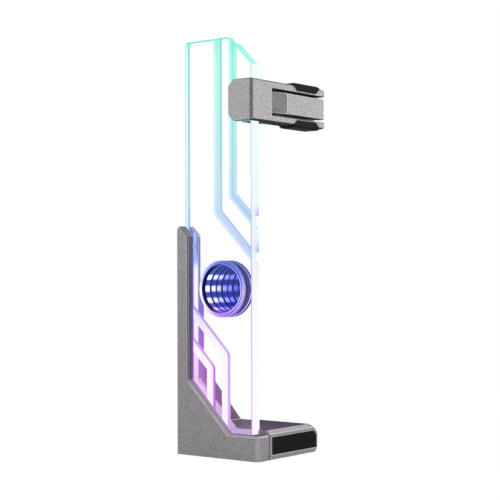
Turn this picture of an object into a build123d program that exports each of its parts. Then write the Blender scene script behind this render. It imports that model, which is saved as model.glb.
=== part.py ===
from build123d import *
import math
import os

# A stand that holds up the free end of a graphics card inside a computer case.
# An upright clear light panel stands in a metal base and column. A support arm
# slides up and down the panel's front edge and is locked by a swing-out lever.
# Millimetres. X runs along the panel, Y goes away from its front face, Z is up.
# Heights are counted from the housings' underside, which stands LIFT off the floor.

# Base
BASE_W = 72.0
BASE_D = 70.0
LEFT = -BASE_W / 2
RIGHT = BASE_W / 2
FRONT = -BASE_D / 2
BACK = BASE_D / 2
LIP_Z = 17.2  # top of the front housing's lip
FOOT_Z = 20.0  # top of the side foot
END_EASE = 1.0  # bevel on the lip's end
HOUSING_D = 13.0  # depth of the front housing, up to the seam
SEAM = FRONT + HOUSING_D
SKIN = 1.5  # thin wall behind the light strips

# Column and the gusset that carries it
COLUMN_W = 10.8
COLUMN_Z = 160.2
COLUMN_NOSE = 6.8  # sloped top corner
COLUMN_HEEL = 2.0  # small bevel on the back top corner
GUSSET_Z = 52.3  # where the 45 degree gusset meets the column
COLUMN_FRONT = LEFT + COLUMN_W

# Channel that holds the panel
FRONT_WALL = 6.0
PANEL_T = 9.0
PANEL_GAP = 0.1  # clearance on each face of the panel
FAR_WALL = 2.8
PANEL_Y0 = FRONT + FRONT_WALL + PANEL_GAP
PANEL_Y1 = PANEL_Y0 + PANEL_T
SLOT_Y1 = PANEL_Y1 + PANEL_GAP
WALL_Y1 = SLOT_Y1 + FAR_WALL

# Light strips
BOARD_T = 0.8
LED_T = 0.8
LED_SIZE = 5.0
STRIP_W = 8.0
STRIP_AIR = 0.4  # air between the column's lights and the panel's edge

# Light panel
BASE_TAIL = 10.0  # the base runs this far past the panel
PANEL_TOP = 290.0
PANEL_CUT = 20.0  # sloped top front corner
PANEL_R = 2.5
PLATE_SEAT = 1.7  # depth of the bottom plate's recess
FLOOR_T = 1.7  # channel floor above that recess
CHANNEL_FLOOR = PLATE_SEAT + FLOOR_T
LEDGE_H = 4.0  # ledges carry the panel above the lights
PANEL_Z0 = CHANNEL_FLOOR + LEDGE_H
LEDGE_W = 4.0
PANEL_X0 = LEFT + SKIN + BOARD_T + LED_T + STRIP_AIR
PANEL_X1 = RIGHT - BASE_TAIL
PANEL_END_GAP = 0.3
GROOVE_W = 6.0
GROOVE_DEPTH = 3.5
GROOVE_R = 4.0
# grooves from the top: centre line's distance from the right edge, and height of its bend
UPPER_GROOVES = ((32.2, 169.4), (18.7, 180.6))
# grooves to the bottom: centre line's distance from the left edge, and height of its bend
LOWER_GROOVES = ((33.2, 70.4), (19.8, 61.0))

# Ring light in the panel
RING_IN = 22.5  # axis from the panel's right edge
RING_X = PANEL_X1 - RING_IN
RING_Z = 116.3
RING_R = 19.6
RING_PROUD = 4.5
RING_TUBE_R = 18.4
RING_TUBE_T = 1.1
RING_FIT = 0.1
RING_SIGHT_R = 16.2
RING_LIP_T = 1.2
RING_FUNNEL = 1.0  # slope round the opening
RING_EASE = 0.3
RING_GRIP = 0.25  # depth of the notches round the rim
GLASS_T = 1.0
TUNNEL_DEPTH = 6.2  # between the half mirror and the back mirror
MIRROR_T = 1.2
GUIDE_T = 0.9
RING_CAP_T = 2.0

# Side foot and back wall
FOOT_CUT = 6.3  # sloped far top edge
FOOT_HEEL = 3.0
FOOT_SKIN = 2.5
BACK_WALL_T = 3.5
BACK_WALL_Y = WALL_Y1 + BACK_WALL_T  # far edge of the back wall's upright part
BACK_WALL_Z = 110.0
END_BEVEL = 2.4

# Rubber pad in the foot's end
PAD_Z0 = 3.2
PAD_Z1 = 15.2
PAD_SEAT = 1.5
PAD_T = 1.2
PAD_FIT = 0.1
PAD_CUT = 3.2
PAD_EDGE_NEAR = 3.0
PAD_EDGE_FAR = 0.9

# Bottom plate, feet and screws
PLATE_T = 1.5
PLATE_GAP = 0.2
PLATE_EDGE = 1.5
BASE_PAD_SIDE = 10.0  # from the pad to the base's left and right edges
BASE_PAD_END = 11.0  # from the pad to the base's front and back edges
BASE_PAD_W = BASE_W - 2 * BASE_PAD_SIDE
BASE_PAD_D = BASE_D - 2 * BASE_PAD_END
BASE_PAD_T = 1.4
BASE_PAD_SEAT = 0.4
LIFT = BASE_PAD_T - BASE_PAD_SEAT - PLATE_GAP  # housings stand this far off the floor
SCREW_D = 2.5
SCREW_HEAD_D = 4.6
SCREW_HEAD_T = 1.2
SCREW_L = 9.0
SCREW_FIT = 0.04  # radial clearance
POST_R = 3.2
SCREW_AIR = 0.7  # between the pad and a screw's head
LEFT_SCREW_IN = 5.0
SIDE_SCREW_IN = 29.0  # from the base's back edge
FRONT_SCREW_X = 4.8  # from the base's right edge
FRONT_SCREW_Y = 8.0  # from the base's front edge
WALL_SCREW_LOW = (18.0, 26.0)  # from the left edge, and its height
WALL_SCREW_HIGH = (7.0, 14.2)  # from the left edge, and from the column's top

# Support arm
LINER_T = 1.0
LINER_GAP = 0.05
NEAR_JAW_T = 4.05
NEAR_JAW_W = 15.5
ARM_OUT = 4.8  # past the panel's right edge
ARM_LENGTH = 86.4
NEAR_JAW_Y1 = PANEL_Y0 - LINER_T - LINER_GAP
ARM_X0 = PANEL_X1 - NEAR_JAW_W
ARM_X1 = PANEL_X1 + ARM_OUT
ARM_Y0 = NEAR_JAW_Y1 - NEAR_JAW_T
ARM_Y1 = ARM_Y0 + ARM_LENGTH
ARM_DOWN = 30.4  # from the panel's top to the arm's, at rest
ARM_H = 28.5
ARM_Z1 = PANEL_TOP - ARM_DOWN
ARM_Z0 = ARM_Z1 - ARM_H
ARM_BAR_T = 12.0
ARM_BAR_X0 = ARM_X1 - ARM_BAR_T
JAW_T = 9.2  # far jaw, which guides the clamp shoe
JAW_GAP = 0.2
JAW_W = 12.0
JAW_X0 = PANEL_X1 - JAW_W
NOSE_CUT = 4.5

# Lever and its pocket
POCKET_FLOOR = 4.9  # metal under the pocket
POCKET_ROOF = 5.2
POCKET_Z0 = ARM_Z0 + POCKET_FLOOR
POCKET_Z1 = ARM_Z1 - POCKET_ROOF
POCKET_DEPTH = 8.5
HUB_POCKET_DEPTH = 10.2
WASHER_LOW_T = 2.0
WASHER_HIGH_T = 1.3
LEVER_Z0 = POCKET_Z0 + WASHER_LOW_T
LEVER_Z1 = POCKET_Z1 - WASHER_HIGH_T
LEVER_INSET = 0.2
LEVER_T = 6.6
PIN_IN = 5.2  # from the arm's side
PIN_X = ARM_X1 - PIN_IN
PIN_REACH = 5.9  # from the pocket's end wall to the pin
PIN_D = 2.5
PIN_FIT = 0.05
HUB_R = 4.2
CAM_LIFT = 0.6
CAM_GAP = 0.06
RAMP_LENGTH = 17.8
RAMP_DROP = 3.0
WASHER_R = 3.2

# Clamp shoe
SHOE_W = 9.8
SHOE_H = 12.0
SHOE_OUT = 0.8
SHOE_X1 = PANEL_X1 + SHOE_OUT
SHOE_FIT = 0.05
SHOE_NOSE_W = 4.4
SHOE_PAD_T = 1.0
JAW_LIP = 2.0

# Rubber covers on the arm
COVER_PROUD = 1.6
COVER_SIDE = 0.6
COVER_DROP = 4.0
COVER_L = 32.2
COVER_END = 6.4  # from the arm's tip
COVER_Y1 = ARM_Y1 - COVER_END
COVER_Y0 = COVER_Y1 - COVER_L

JAW_Y0 = PANEL_Y1 + JAW_GAP
JAW_Y1 = JAW_Y0 + JAW_T
PIN_Y = JAW_Y1 + PIN_REACH


def across(outline, y0, y1):
    """Solid from an outline in X and Z, from y0 to y1."""
    return extrude(Plane.XZ.offset(-y1) * outline, amount=y1 - y0)


def along(outline, x0, x1):
    """Solid from an outline in Y and Z, from x0 to x1."""
    return extrude(Plane.YZ.offset(x0) * outline, amount=x1 - x0)


def upright(outline, z0, z1):
    """Solid from an outline in X and Y, from z0 to z1."""
    return extrude(Plane.XY.offset(z0) * outline, amount=z1 - z0)


def shape(*points):
    """Flat outline through points."""
    return make_face(Polyline(*points, close=True))


def room(x0, x1, y0, y1, z0, z1):
    """Straight-sided space between two corners."""
    box = Box(x1 - x0, y1 - y0, z1 - z0, align=(Align.MIN, Align.MIN, Align.MIN))
    return Pos(x0, y0, z0) * box


def drum_y(x, z, radius, y0, y1):
    """Round bar along Y."""
    return across(Pos(x, z) * Circle(radius), y0, y1)


def drum_z(x, y, radius, z0, z1):
    """Round bar along Z."""
    return upright(Pos(x, y) * Circle(radius), z0, z1)


def wall_outline():
    """Column, gusset and lip as one outline in X and Z."""
    gusset_x = COLUMN_FRONT + GUSSET_Z - LIP_Z
    return shape(
        (LEFT, 0),
        (RIGHT, 0),
        (RIGHT, LIP_Z - END_EASE),
        (RIGHT - END_EASE, LIP_Z),
        (gusset_x, LIP_Z),
        (COLUMN_FRONT, GUSSET_Z),
        (COLUMN_FRONT, COLUMN_Z - COLUMN_NOSE),
        (COLUMN_FRONT - COLUMN_NOSE, COLUMN_Z),
        (LEFT + COLUMN_HEEL, COLUMN_Z),
        (LEFT, COLUMN_Z - COLUMN_HEEL),
    )


def column_back(y0, y1):
    """Thin upright wall behind the column's lights."""
    outline = shape(
        (LEFT, 0),
        (LEFT + SKIN, 0),
        (LEFT + SKIN, COLUMN_Z - COLUMN_HEEL + SKIN),
        (LEFT, COLUMN_Z - COLUMN_HEEL),
    )
    return across(outline, y0, y1)


def channel_room(y0, y1):
    """Space for the panel and its lights, with a ledge at each end."""
    end = PANEL_X1 + PANEL_END_GAP
    outline = shape(
        (PANEL_X0 + LEDGE_W, CHANNEL_FLOOR),
        (PANEL_X1 - LEDGE_W, CHANNEL_FLOOR),
        (PANEL_X1 - LEDGE_W, PANEL_Z0),
        (end, PANEL_Z0),
        (end, PANEL_TOP),
        (LEFT + SKIN, PANEL_TOP),
        (LEFT + SKIN, PANEL_Z0),
        (PANEL_X0 + LEDGE_W, PANEL_Z0),
    )
    return across(outline, y0, y1)


def plate_room(z0, z1, gap):
    """Space of the bottom plate."""
    return room(
        LEFT + PLATE_EDGE + gap,
        RIGHT - PLATE_EDGE - gap,
        FRONT + PLATE_EDGE + gap,
        BACK - FOOT_HEEL - 1.0 - gap,
        z0,
        z1,
    )


HEAD_REACH = SCREW_HEAD_D / 2 + SCREW_AIR
FRONT_SCREWS = ((RIGHT - FRONT_SCREW_X, FRONT + FRONT_SCREW_Y),)
REAR_SCREWS = (
    (LEFT + LEFT_SCREW_IN, BACK - SIDE_SCREW_IN),
    (RIGHT - BASE_PAD_SIDE + HEAD_REACH + SCREW_AIR, BACK - SIDE_SCREW_IN),
    (0.0, BACK - BASE_PAD_END + HEAD_REACH),
)
WALL_SCREWS = (
    (LEFT + WALL_SCREW_LOW[0], WALL_SCREW_LOW[1]),
    (LEFT + WALL_SCREW_HIGH[0], COLUMN_Z - WALL_SCREW_HIGH[1]),
)
WALL_SCREW_LEFT = 2.0  # metal in front of a wall screw's tip
WALL_SCREW_END = FRONT + WALL_SCREW_LEFT


def plate_screw_bores():
    """Pilot bores for the screws that hold the bottom plate."""
    top = PLATE_GAP + SCREW_L + 0.5
    return [
        drum_z(x, y, SCREW_D / 2 + SCREW_FIT, 0, top) for x, y in FRONT_SCREWS + REAR_SCREWS
    ]


def wall_screw_bores():
    """Bores for the screws that tie both housings together through the panel."""
    return [
        drum_y(x, z, SCREW_D / 2 + SCREW_FIT, WALL_SCREW_END, WALL_Y1) for x, z in WALL_SCREWS
    ]


def front_housing():
    body = across(wall_outline(), FRONT, FRONT + FRONT_WALL)
    corner = body.edges().filter_by(Axis.Z).sort_by(Axis.X)[-2:].sort_by(Axis.Y)[0]
    body = fillet(corner, 2.5)
    rim = [
        e
        for e in body.faces().sort_by(Axis.Y)[0].edges()
        if e.center().Z > 1.0 and e.center().X < RIGHT - 3.0
    ]
    body = chamfer(rim, 1.0)
    block = shape(
        (LEFT, 0), (RIGHT, 0), (RIGHT, LIP_Z - END_EASE), (RIGHT - END_EASE, LIP_Z), (LEFT, LIP_Z)
    )
    body += across(block, FRONT + FRONT_WALL, SEAM)
    body += column_back(FRONT + FRONT_WALL, SEAM)
    body -= channel_room(FRONT + FRONT_WALL, SEAM)
    body -= plate_room(0, PLATE_SEAT, 0)
    for bore in plate_screw_bores() + wall_screw_bores():
        body -= bore
    return body


def foot_outline():
    """Side foot in Y and Z, with its far edges cut back."""
    return shape(
        (SEAM, 0),
        (BACK - FOOT_HEEL, 0),
        (BACK, FOOT_HEEL),
        (BACK, FOOT_Z - FOOT_CUT),
        (BACK - FOOT_CUT, FOOT_Z),
        (SEAM, FOOT_Z),
    )


def back_wall_outline():
    """Back wall in Y and Z: an upright part and a 45 degree gusset."""
    step = BACK_WALL_Y - WALL_Y1
    toe = BACK - FOOT_CUT
    return shape(
        (WALL_Y1 - FAR_WALL, 0),
        (toe, 0),
        (toe, FOOT_Z),
        (BACK_WALL_Y, FOOT_Z + toe - BACK_WALL_Y),
        (BACK_WALL_Y, BACK_WALL_Z),
        (WALL_Y1, BACK_WALL_Z + step),
        (WALL_Y1 - FAR_WALL, BACK_WALL_Z + step),
    )


CAVITY_X0 = LEFT + FOOT_SKIN
CAVITY_X1 = RIGHT - PAD_SEAT - 2.0
CAVITY_Y0 = WALL_Y1 + 2.0
CAVITY_Y1 = BACK - FOOT_SKIN
CAVITY_Z1 = FOOT_Z - FOOT_SKIN
SOCKET_IN = 18.0  # axis from the base's left edge
SOCKET_X = LEFT + SOCKET_IN
SOCKET_W = 10.0
SOCKET_H = 5.5
SOCKET_D = 11.5
BOARD_Z = 5.6
CONTROL_T = 1.2
SOCKET_Z0 = BOARD_Z + CONTROL_T
SOCKET_FIT = 0.2
CONTROL_W = 38.0
CONTROL_D = 30.5
CONTROL_SIDE = 6.0  # from the board's left edge to the socket's axis
CONTROL_BACK = 12.5  # from the base's back edge
CONTROL_X0 = SOCKET_X - CONTROL_SIDE
CONTROL_X1 = CONTROL_X0 + CONTROL_W
CONTROL_Y1 = BACK - CONTROL_BACK
CONTROL_Y0 = CONTROL_Y1 - CONTROL_D
POST_IN = 4.0
BOARD_POSTS = (
    (CONTROL_X0 + POST_IN, CONTROL_Y0 + POST_IN),
    (CONTROL_X1 - POST_IN, CONTROL_Y1 - POST_IN),
)
# parts on the control board, placed from its near left corner
CHIP_X, CHIP_Y = 21.5, 13.5
CHIP_W, CHIP_T = 7.0, 1.2
CAN_X, CAN_Y = 30.0, 10.0
CAN_R, CAN_T = 3.0, 6.0
PLUG_X, PLUG_Y = 10.0, 18.5
PLUG_W, PLUG_D, PLUG_T = 8.0, 5.0, 2.4
BOARD_SCREW_D = 2.0
BOARD_SCREW_L = 5.0


def side_foot():
    foot = along(foot_outline(), LEFT, RIGHT)
    top_end = (
        foot.edges().filter_by(Axis.Y).sort_by(Axis.X)[-2:].sort_by(Axis.Z)[-1]
    )
    foot = chamfer(top_end, END_BEVEL)
    wall = across(wall_outline(), SLOT_Y1, WALL_Y1)
    back = along(back_wall_outline(), LEFT, COLUMN_FRONT)
    body = foot + wall + back + column_back(SEAM, SLOT_Y1)
    cut = FOOT_SKIN / 2
    cavity = along(
        shape(
            (CAVITY_Y0, 0),
            (CAVITY_Y1 - FOOT_HEEL, 0),
            (CAVITY_Y1, FOOT_HEEL),
            (CAVITY_Y1, CAVITY_Z1 - FOOT_CUT + cut),
            (CAVITY_Y1 - FOOT_CUT + cut, CAVITY_Z1),
            (CAVITY_Y0, CAVITY_Z1),
        ),
        CAVITY_X0,
        CAVITY_X1,
    )
    skin_45 = FOOT_SKIN * math.sqrt(2)
    toe = BACK - FOOT_CUT - skin_45 + FOOT_SKIN
    duct = along(
        shape(
            (CAVITY_Y0, 0),
            (toe, 0),
            (toe, CAVITY_Z1),
            (CAVITY_Y0, CAVITY_Z1 + toe - CAVITY_Y0),
        ),
        CAVITY_X0,
        COLUMN_FRONT - FOOT_SKIN,
    )
    body -= cavity + duct
    for x, y in REAR_SCREWS:
        body += drum_z(x, y, POST_R, PLATE_SEAT, CAVITY_Z1)
    for x, y in BOARD_POSTS:
        body += drum_z(x, y, POST_R - 0.7, BOARD_Z + CONTROL_T, CAVITY_Z1)
        body -= drum_z(x, y, BOARD_SCREW_D / 2 + SCREW_FIT, BOARD_Z, BOARD_Z + BOARD_SCREW_L)
    body -= channel_room(SEAM, SLOT_Y1)
    body -= plate_room(0, PLATE_SEAT, 0)
    for bore in plate_screw_bores() + wall_screw_bores():
        body -= bore
    for x, z in WALL_SCREWS:
        body -= drum_y(x, z, SCREW_HEAD_D / 2 + SCREW_FIT, WALL_Y1 - SCREW_HEAD_T, WALL_Y1)
    body -= along(pad_outline(0), RIGHT - PAD_SEAT, RIGHT)
    body -= room(
        SOCKET_X - SOCKET_W / 2 - SOCKET_FIT,
        SOCKET_X + SOCKET_W / 2 + SOCKET_FIT,
        CAVITY_Y1 - 1.0,
        BACK,
        SOCKET_Z0 - SOCKET_FIT,
        SOCKET_Z0 + SOCKET_H + SOCKET_FIT,
    )
    # passage for the light strips' wires
    body -= room(
        PANEL_X0 + LEDGE_W, PANEL_X0 + LEDGE_W + 4.0, SLOT_Y1, CAVITY_Y0, CHANNEL_FLOOR, PANEL_Z0
    )
    return body


def pad_outline(gap):
    """Pad in the foot's end, in Y and Z, with its far top corner cut off."""
    y0, y1 = SEAM + PAD_EDGE_NEAR + gap, BACK - PAD_EDGE_FAR - gap
    z0, z1 = PAD_Z0 + gap, PAD_Z1 - gap
    return shape((y0, z0), (y1, z0), (y1, z1 - PAD_CUT), (y1 - PAD_CUT, z1), (y0, z1))


def end_pad():
    return along(pad_outline(PAD_FIT), RIGHT - PAD_SEAT, RIGHT - PAD_SEAT + PAD_T)


def bottom_plate():
    plate = plate_room(PLATE_GAP, PLATE_GAP + PLATE_T, 0.2)
    plate = chamfer(plate.edges().filter_by(Axis.Z), 2.0)
    for x, y in FRONT_SCREWS + REAR_SCREWS:
        plate -= drum_z(x, y, SCREW_D / 2 + SCREW_FIT, PLATE_GAP, PLATE_GAP + PLATE_T)
        plate -= drum_z(x, y, SCREW_HEAD_D / 2 + SCREW_FIT, PLATE_GAP, PLATE_GAP + SCREW_HEAD_T)
    seat = RectangleRounded(BASE_PAD_W + 2 * RING_FIT, BASE_PAD_D + 2 * RING_FIT, 4.0)
    return plate - upright(seat, PLATE_GAP, PLATE_GAP + BASE_PAD_SEAT)


def base_pad():
    top = PLATE_GAP + BASE_PAD_SEAT
    pad = upright(RectangleRounded(BASE_PAD_W, BASE_PAD_D, 4.0), top - BASE_PAD_T, top)
    return chamfer(pad.faces().sort_by(Axis.Z)[0].edges(), 0.4)


def plain_screw(diameter, head, head_t, length):
    """Screw pointing up, with the head's face at the origin."""
    body = Cylinder(diameter / 2, length, align=(Align.CENTER, Align.CENTER, Align.MIN))
    top = Cylinder(head / 2, head_t, align=(Align.CENTER, Align.CENTER, Align.MIN))
    drive = extrude(RegularPolygon(diameter * 0.36, 6), amount=head_t * 0.7)
    return chamfer((body + top - drive).faces().sort_by(Axis.Z)[-1].edges(), diameter * 0.18)


def light_panel():
    outline = shape(
        (PANEL_X0, PANEL_Z0),
        (PANEL_X1, PANEL_Z0),
        (PANEL_X1, PANEL_TOP - PANEL_CUT),
        (PANEL_X1 - PANEL_CUT, PANEL_TOP),
        (PANEL_X0, PANEL_TOP),
    )
    body = across(outline, PANEL_Y0, PANEL_Y1)
    corners = body.edges().filter_by(Axis.Y).sort_by(Axis.Z)[2:]
    body = fillet(corners, PANEL_R)
    body -= drum_y(RING_X, RING_Z, RING_TUBE_R + RING_FIT, PANEL_Y0, PANEL_Y1)
    for path in panel_paths():
        line = FilletPolyline(*path, radius=GROOVE_R)
        groove = across(trace(line, GROOVE_W), PANEL_Y1 - GROOVE_DEPTH, PANEL_Y1)
        body -= groove
    for x, z in WALL_SCREWS:
        body -= drum_y(x, z, SCREW_D / 2 + 0.3, PANEL_Y0, PANEL_Y1)
    return body


def panel_paths():
    """Centre lines of the light grooves in the panel's back, in X and Z."""
    up, down = PANEL_TOP + 5.0, PANEL_Z0 - 5.0
    left, right = PANEL_X0 - 5.0, PANEL_X1 + 5.0
    runs = []
    for inset, turn in UPPER_GROOVES:
        x = PANEL_X1 - inset
        runs.append(((x, up), (x, turn), (right, turn - (right - x))))
    for inset, turn in LOWER_GROOVES:
        x = PANEL_X0 + inset
        runs.append(((left, turn + (x - left)), (x, turn), (x, down)))
    return runs


def led_spots(first, last, count):
    """Even places for a strip's lights."""
    step = (last - first) / (count - 1)
    return [first + step * i for i in range(count)]


STRIP_Y = (PANEL_Y0 + PANEL_Y1) / 2
STRIP_Y0 = STRIP_Y - STRIP_W / 2
STRIP_Y1 = STRIP_Y + STRIP_W / 2
STRIP_UP = 2.0  # above the panel's underside
STRIP_DOWN = 20.0  # below the column's top
STRIP_GAP = 0.5
LED_END = 5.0  # from a strip's end to the middle of its last light
COLUMN_STRIP_Z0 = PANEL_Z0 + STRIP_UP
COLUMN_STRIP_Z1 = COLUMN_Z - STRIP_DOWN
BASE_STRIP_X0 = PANEL_X0 + LEDGE_W + STRIP_GAP
BASE_STRIP_X1 = PANEL_X1 - LEDGE_W - STRIP_GAP


def column_light_strip():
    x = LEFT + SKIN
    strip = room(x, x + BOARD_T, STRIP_Y0, STRIP_Y1, COLUMN_STRIP_Z0, COLUMN_STRIP_Z1)
    half = LED_SIZE / 2
    for z in led_spots(COLUMN_STRIP_Z0 + LED_END, COLUMN_STRIP_Z1 - LED_END, 8):
        strip += room(
            x + BOARD_T, x + BOARD_T + LED_T, STRIP_Y - half, STRIP_Y + half, z - half, z + half
        )
    return strip


def base_light_strip():
    z = CHANNEL_FLOOR
    strip = room(BASE_STRIP_X0, BASE_STRIP_X1, STRIP_Y0, STRIP_Y1, z, z + BOARD_T)
    half = LED_SIZE / 2
    for x in led_spots(BASE_STRIP_X0 + LED_END, BASE_STRIP_X1 - LED_END, 5):
        strip += room(
            x - half, x + half, STRIP_Y - half, STRIP_Y + half, z + BOARD_T, z + BOARD_T + LED_T
        )
    return strip


def control_board():
    board = room(CONTROL_X0, CONTROL_X1, CONTROL_Y0, CONTROL_Y1, BOARD_Z, BOARD_Z + CONTROL_T)
    top = BOARD_Z + CONTROL_T
    x, y = CONTROL_X0, CONTROL_Y0
    board += upright(Pos(x + CHIP_X, y + CHIP_Y) * Rectangle(CHIP_W, CHIP_W), top, top + CHIP_T)
    board += drum_z(x + CAN_X, y + CAN_Y, CAN_R, top, top + CAN_T)
    board += upright(Pos(x + PLUG_X, y + PLUG_Y) * Rectangle(PLUG_W, PLUG_D), top, top + PLUG_T)
    for x, y in BOARD_POSTS:
        board -= drum_z(x, y, BOARD_SCREW_D / 2 + SCREW_FIT, BOARD_Z, top)
    return board


def light_socket():
    x0, x1 = SOCKET_X - SOCKET_W / 2, SOCKET_X + SOCKET_W / 2
    y1 = BACK - 0.5
    y0 = y1 - SOCKET_D
    z0 = SOCKET_Z0
    z1 = z0 + SOCKET_H
    wall = 0.8
    body = room(x0, x1, y0, y1, z0, z1)
    body -= room(x0 + wall, x1 - wall, y0 + 3.0, y1, z0 + wall, z1 - wall)
    pitch = 2.54
    pin = 0.64
    zc = (z0 + z1) / 2
    for i in (-1, 0, 1):
        xc = SOCKET_X + i * pitch
        body += room(xc - pin / 2, xc + pin / 2, y0 + 3.0, y1 - 2.0, zc - pin / 2, zc + pin / 2)
    return body


RING_Y0 = PANEL_Y0 - RING_PROUD
GLASS_Y0 = RING_Y0 + RING_LIP_T
MIRROR_Y0 = GLASS_Y0 + GLASS_T + TUNNEL_DEPTH
RING_BORE_R = RING_TUBE_R - RING_TUBE_T
GUIDE_Y1 = MIRROR_Y0 + MIRROR_T
TUBE_Y1 = PANEL_Y1 - 1.0


def ring_piece(outer, inner, y0, y1):
    """Round washer or sleeve on the ring's axis."""
    return drum_y(RING_X, RING_Z, outer, y0, y1) - drum_y(RING_X, RING_Z, inner, y0, y1)


def ring_front_bezel():
    flange = ring_piece(RING_R, RING_SIGHT_R, RING_Y0, PANEL_Y0)
    rims = flange.faces().sort_by(Axis.Y)[0].edges().sort_by(SortBy.LENGTH)
    flange = chamfer(rims[0], RING_FUNNEL)
    rims = flange.faces().sort_by(Axis.Y)[0].edges().sort_by(SortBy.LENGTH)
    flange = chamfer(rims[-1], RING_EASE)
    tube = ring_piece(RING_TUBE_R, RING_BORE_R, PANEL_Y0, TUBE_Y1)
    body = flange + tube
    body -= drum_y(RING_X, RING_Z, RING_BORE_R, GLASS_Y0, PANEL_Y0)
    notches = []
    count = 60
    for i in range(count):
        turn = Rot(0, 360.0 * i / count, 0)
        cut = room(RING_R - RING_GRIP, RING_R + 1, 0, RING_PROUD - RING_LIP_T, -0.3, 0.3)
        notches.append(Pos(RING_X, RING_Y0 + RING_LIP_T, RING_Z) * turn * cut)
    return body - notches


def ring_half_mirror():
    return drum_y(RING_X, RING_Z, RING_BORE_R - RING_FIT, GLASS_Y0, GLASS_Y0 + GLASS_T)


def ring_light_guide():
    outer = RING_BORE_R - RING_FIT
    return ring_piece(outer, outer - GUIDE_T, GLASS_Y0 + GLASS_T, GUIDE_Y1)


def ring_back_mirror():
    return drum_y(RING_X, RING_Z, RING_BORE_R - GUIDE_T - 2 * RING_FIT, MIRROR_Y0, GUIDE_Y1)


def ring_light_board():
    board = drum_y(RING_X, RING_Z, RING_BORE_R - RING_FIT, GUIDE_Y1, GUIDE_Y1 + BOARD_T)
    board -= drum_y(RING_X, RING_Z, 3.0, GUIDE_Y1, GUIDE_Y1 + BOARD_T)
    return board


def ring_rear_cap():
    plug = ring_piece(RING_BORE_R - RING_FIT, RING_BORE_R - 2.0, GUIDE_Y1 + BOARD_T, PANEL_Y1)
    disc = drum_y(RING_X, RING_Z, RING_R, PANEL_Y1, PANEL_Y1 + RING_CAP_T)
    disc = chamfer(disc.faces().sort_by(Axis.Y)[-1].edges(), 0.6)
    return disc + plug


def arm_outline():
    """Arm seen from above: two jaws round the panel's edge and a long bar."""
    edge = PANEL_X1 + JAW_GAP
    return shape(
        (ARM_X0, ARM_Y0),
        (ARM_X1, ARM_Y0),
        (ARM_X1, ARM_Y1),
        (ARM_BAR_X0, ARM_Y1),
        (ARM_BAR_X0, JAW_Y1 + ARM_BAR_X0 - JAW_X0),
        (JAW_X0, JAW_Y1),
        (JAW_X0, JAW_Y0),
        (edge, JAW_Y0),
        (edge, NEAR_JAW_Y1),
        (ARM_X0, NEAR_JAW_Y1),
    )


def support_arm():
    body = upright(arm_outline(), ARM_Z0, ARM_Z1)
    near = body.edges().filter_by(Axis.Y).filter_by(lambda e: abs(e.center().X - ARM_X0) < 0.01)
    body = chamfer(near, NOSE_CUT)
    corner = (
        body.edges()
        .filter_by(Axis.Z)
        .filter_by(lambda e: e.center().X > ARM_X1 - 0.01 and e.center().Y < ARM_Y0 + 0.01)
    )
    body = chamfer(corner, 2.0)
    rim = (
        body.edges()
        .filter_by(Axis.Y)
        .filter_by(lambda e: e.center().X > ARM_X1 - 0.01 and e.length > ARM_LENGTH / 2)
    )
    body = chamfer(rim, 0.8)
    tips = (
        body.edges()
        .filter_by(Axis.X)
        .filter_by(lambda e: e.center().Y > ARM_Y1 - 0.01)
    )
    body = chamfer(tips, 1.5)
    body -= room(ARM_X1 - POCKET_DEPTH, ARM_X1, JAW_Y1, ARM_Y1, POCKET_Z0, POCKET_Z1)
    hub_y1 = PIN_Y + HUB_R + CAM_LIFT + 1.0
    body -= room(ARM_X1 - HUB_POCKET_DEPTH, ARM_X1, JAW_Y1, hub_y1, POCKET_Z0, POCKET_Z1)
    body -= shoe_space(SHOE_FIT)
    body -= drum_z(PIN_X, PIN_Y, PIN_D / 2 + PIN_FIT, ARM_Z0, ARM_Z1 - 1.6)
    return body


SHOE_ZC = (POCKET_Z0 + POCKET_Z1) / 2
SHOE_BACK = JAW_Y1 - JAW_LIP
SHOE_RETRACT = 0.5
CAM_REACH = HUB_R + CAM_LIFT


def shoe_space(fit):
    """Guide in the far jaw for the clamp shoe."""
    x0 = SHOE_X1 - SHOE_W
    z0, z1 = SHOE_ZC - SHOE_H / 2, SHOE_ZC + SHOE_H / 2
    guide = room(x0 - fit, SHOE_X1 + fit, JAW_Y0, SHOE_BACK, z0 - fit, z1 + fit)
    nose = room(
        SHOE_X1 - SHOE_NOSE_W - fit, SHOE_X1 + fit, SHOE_BACK, JAW_Y1, z0 - fit, z1 + fit
    )
    return guide + nose


def clamp_shoe():
    x0 = SHOE_X1 - SHOE_W
    z0, z1 = SHOE_ZC - SHOE_H / 2, SHOE_ZC + SHOE_H / 2
    y0 = PANEL_Y1 + SHOE_PAD_T
    body = room(x0, SHOE_X1, y0, SHOE_BACK - SHOE_RETRACT, z0, z1)
    tip = PIN_Y - CAM_REACH - CAM_GAP
    return body + room(
        SHOE_X1 - SHOE_NOSE_W, SHOE_X1, SHOE_BACK - SHOE_RETRACT, tip, z0, z1
    )


def clamp_shoe_pad():
    x0 = SHOE_X1 - SHOE_W
    z0, z1 = SHOE_ZC - SHOE_H / 2, SHOE_ZC + SHOE_H / 2
    return room(x0, PANEL_X1, PANEL_Y1 + 0.02, PANEL_Y1 + SHOE_PAD_T, z0, z1)


def jaw_liner():
    return room(
        ARM_X0 + 1.5, PANEL_X1, NEAR_JAW_Y1, PANEL_Y0 - LINER_GAP, ARM_Z0 + 4.5, ARM_Z1 - 4.5
    )


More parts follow.
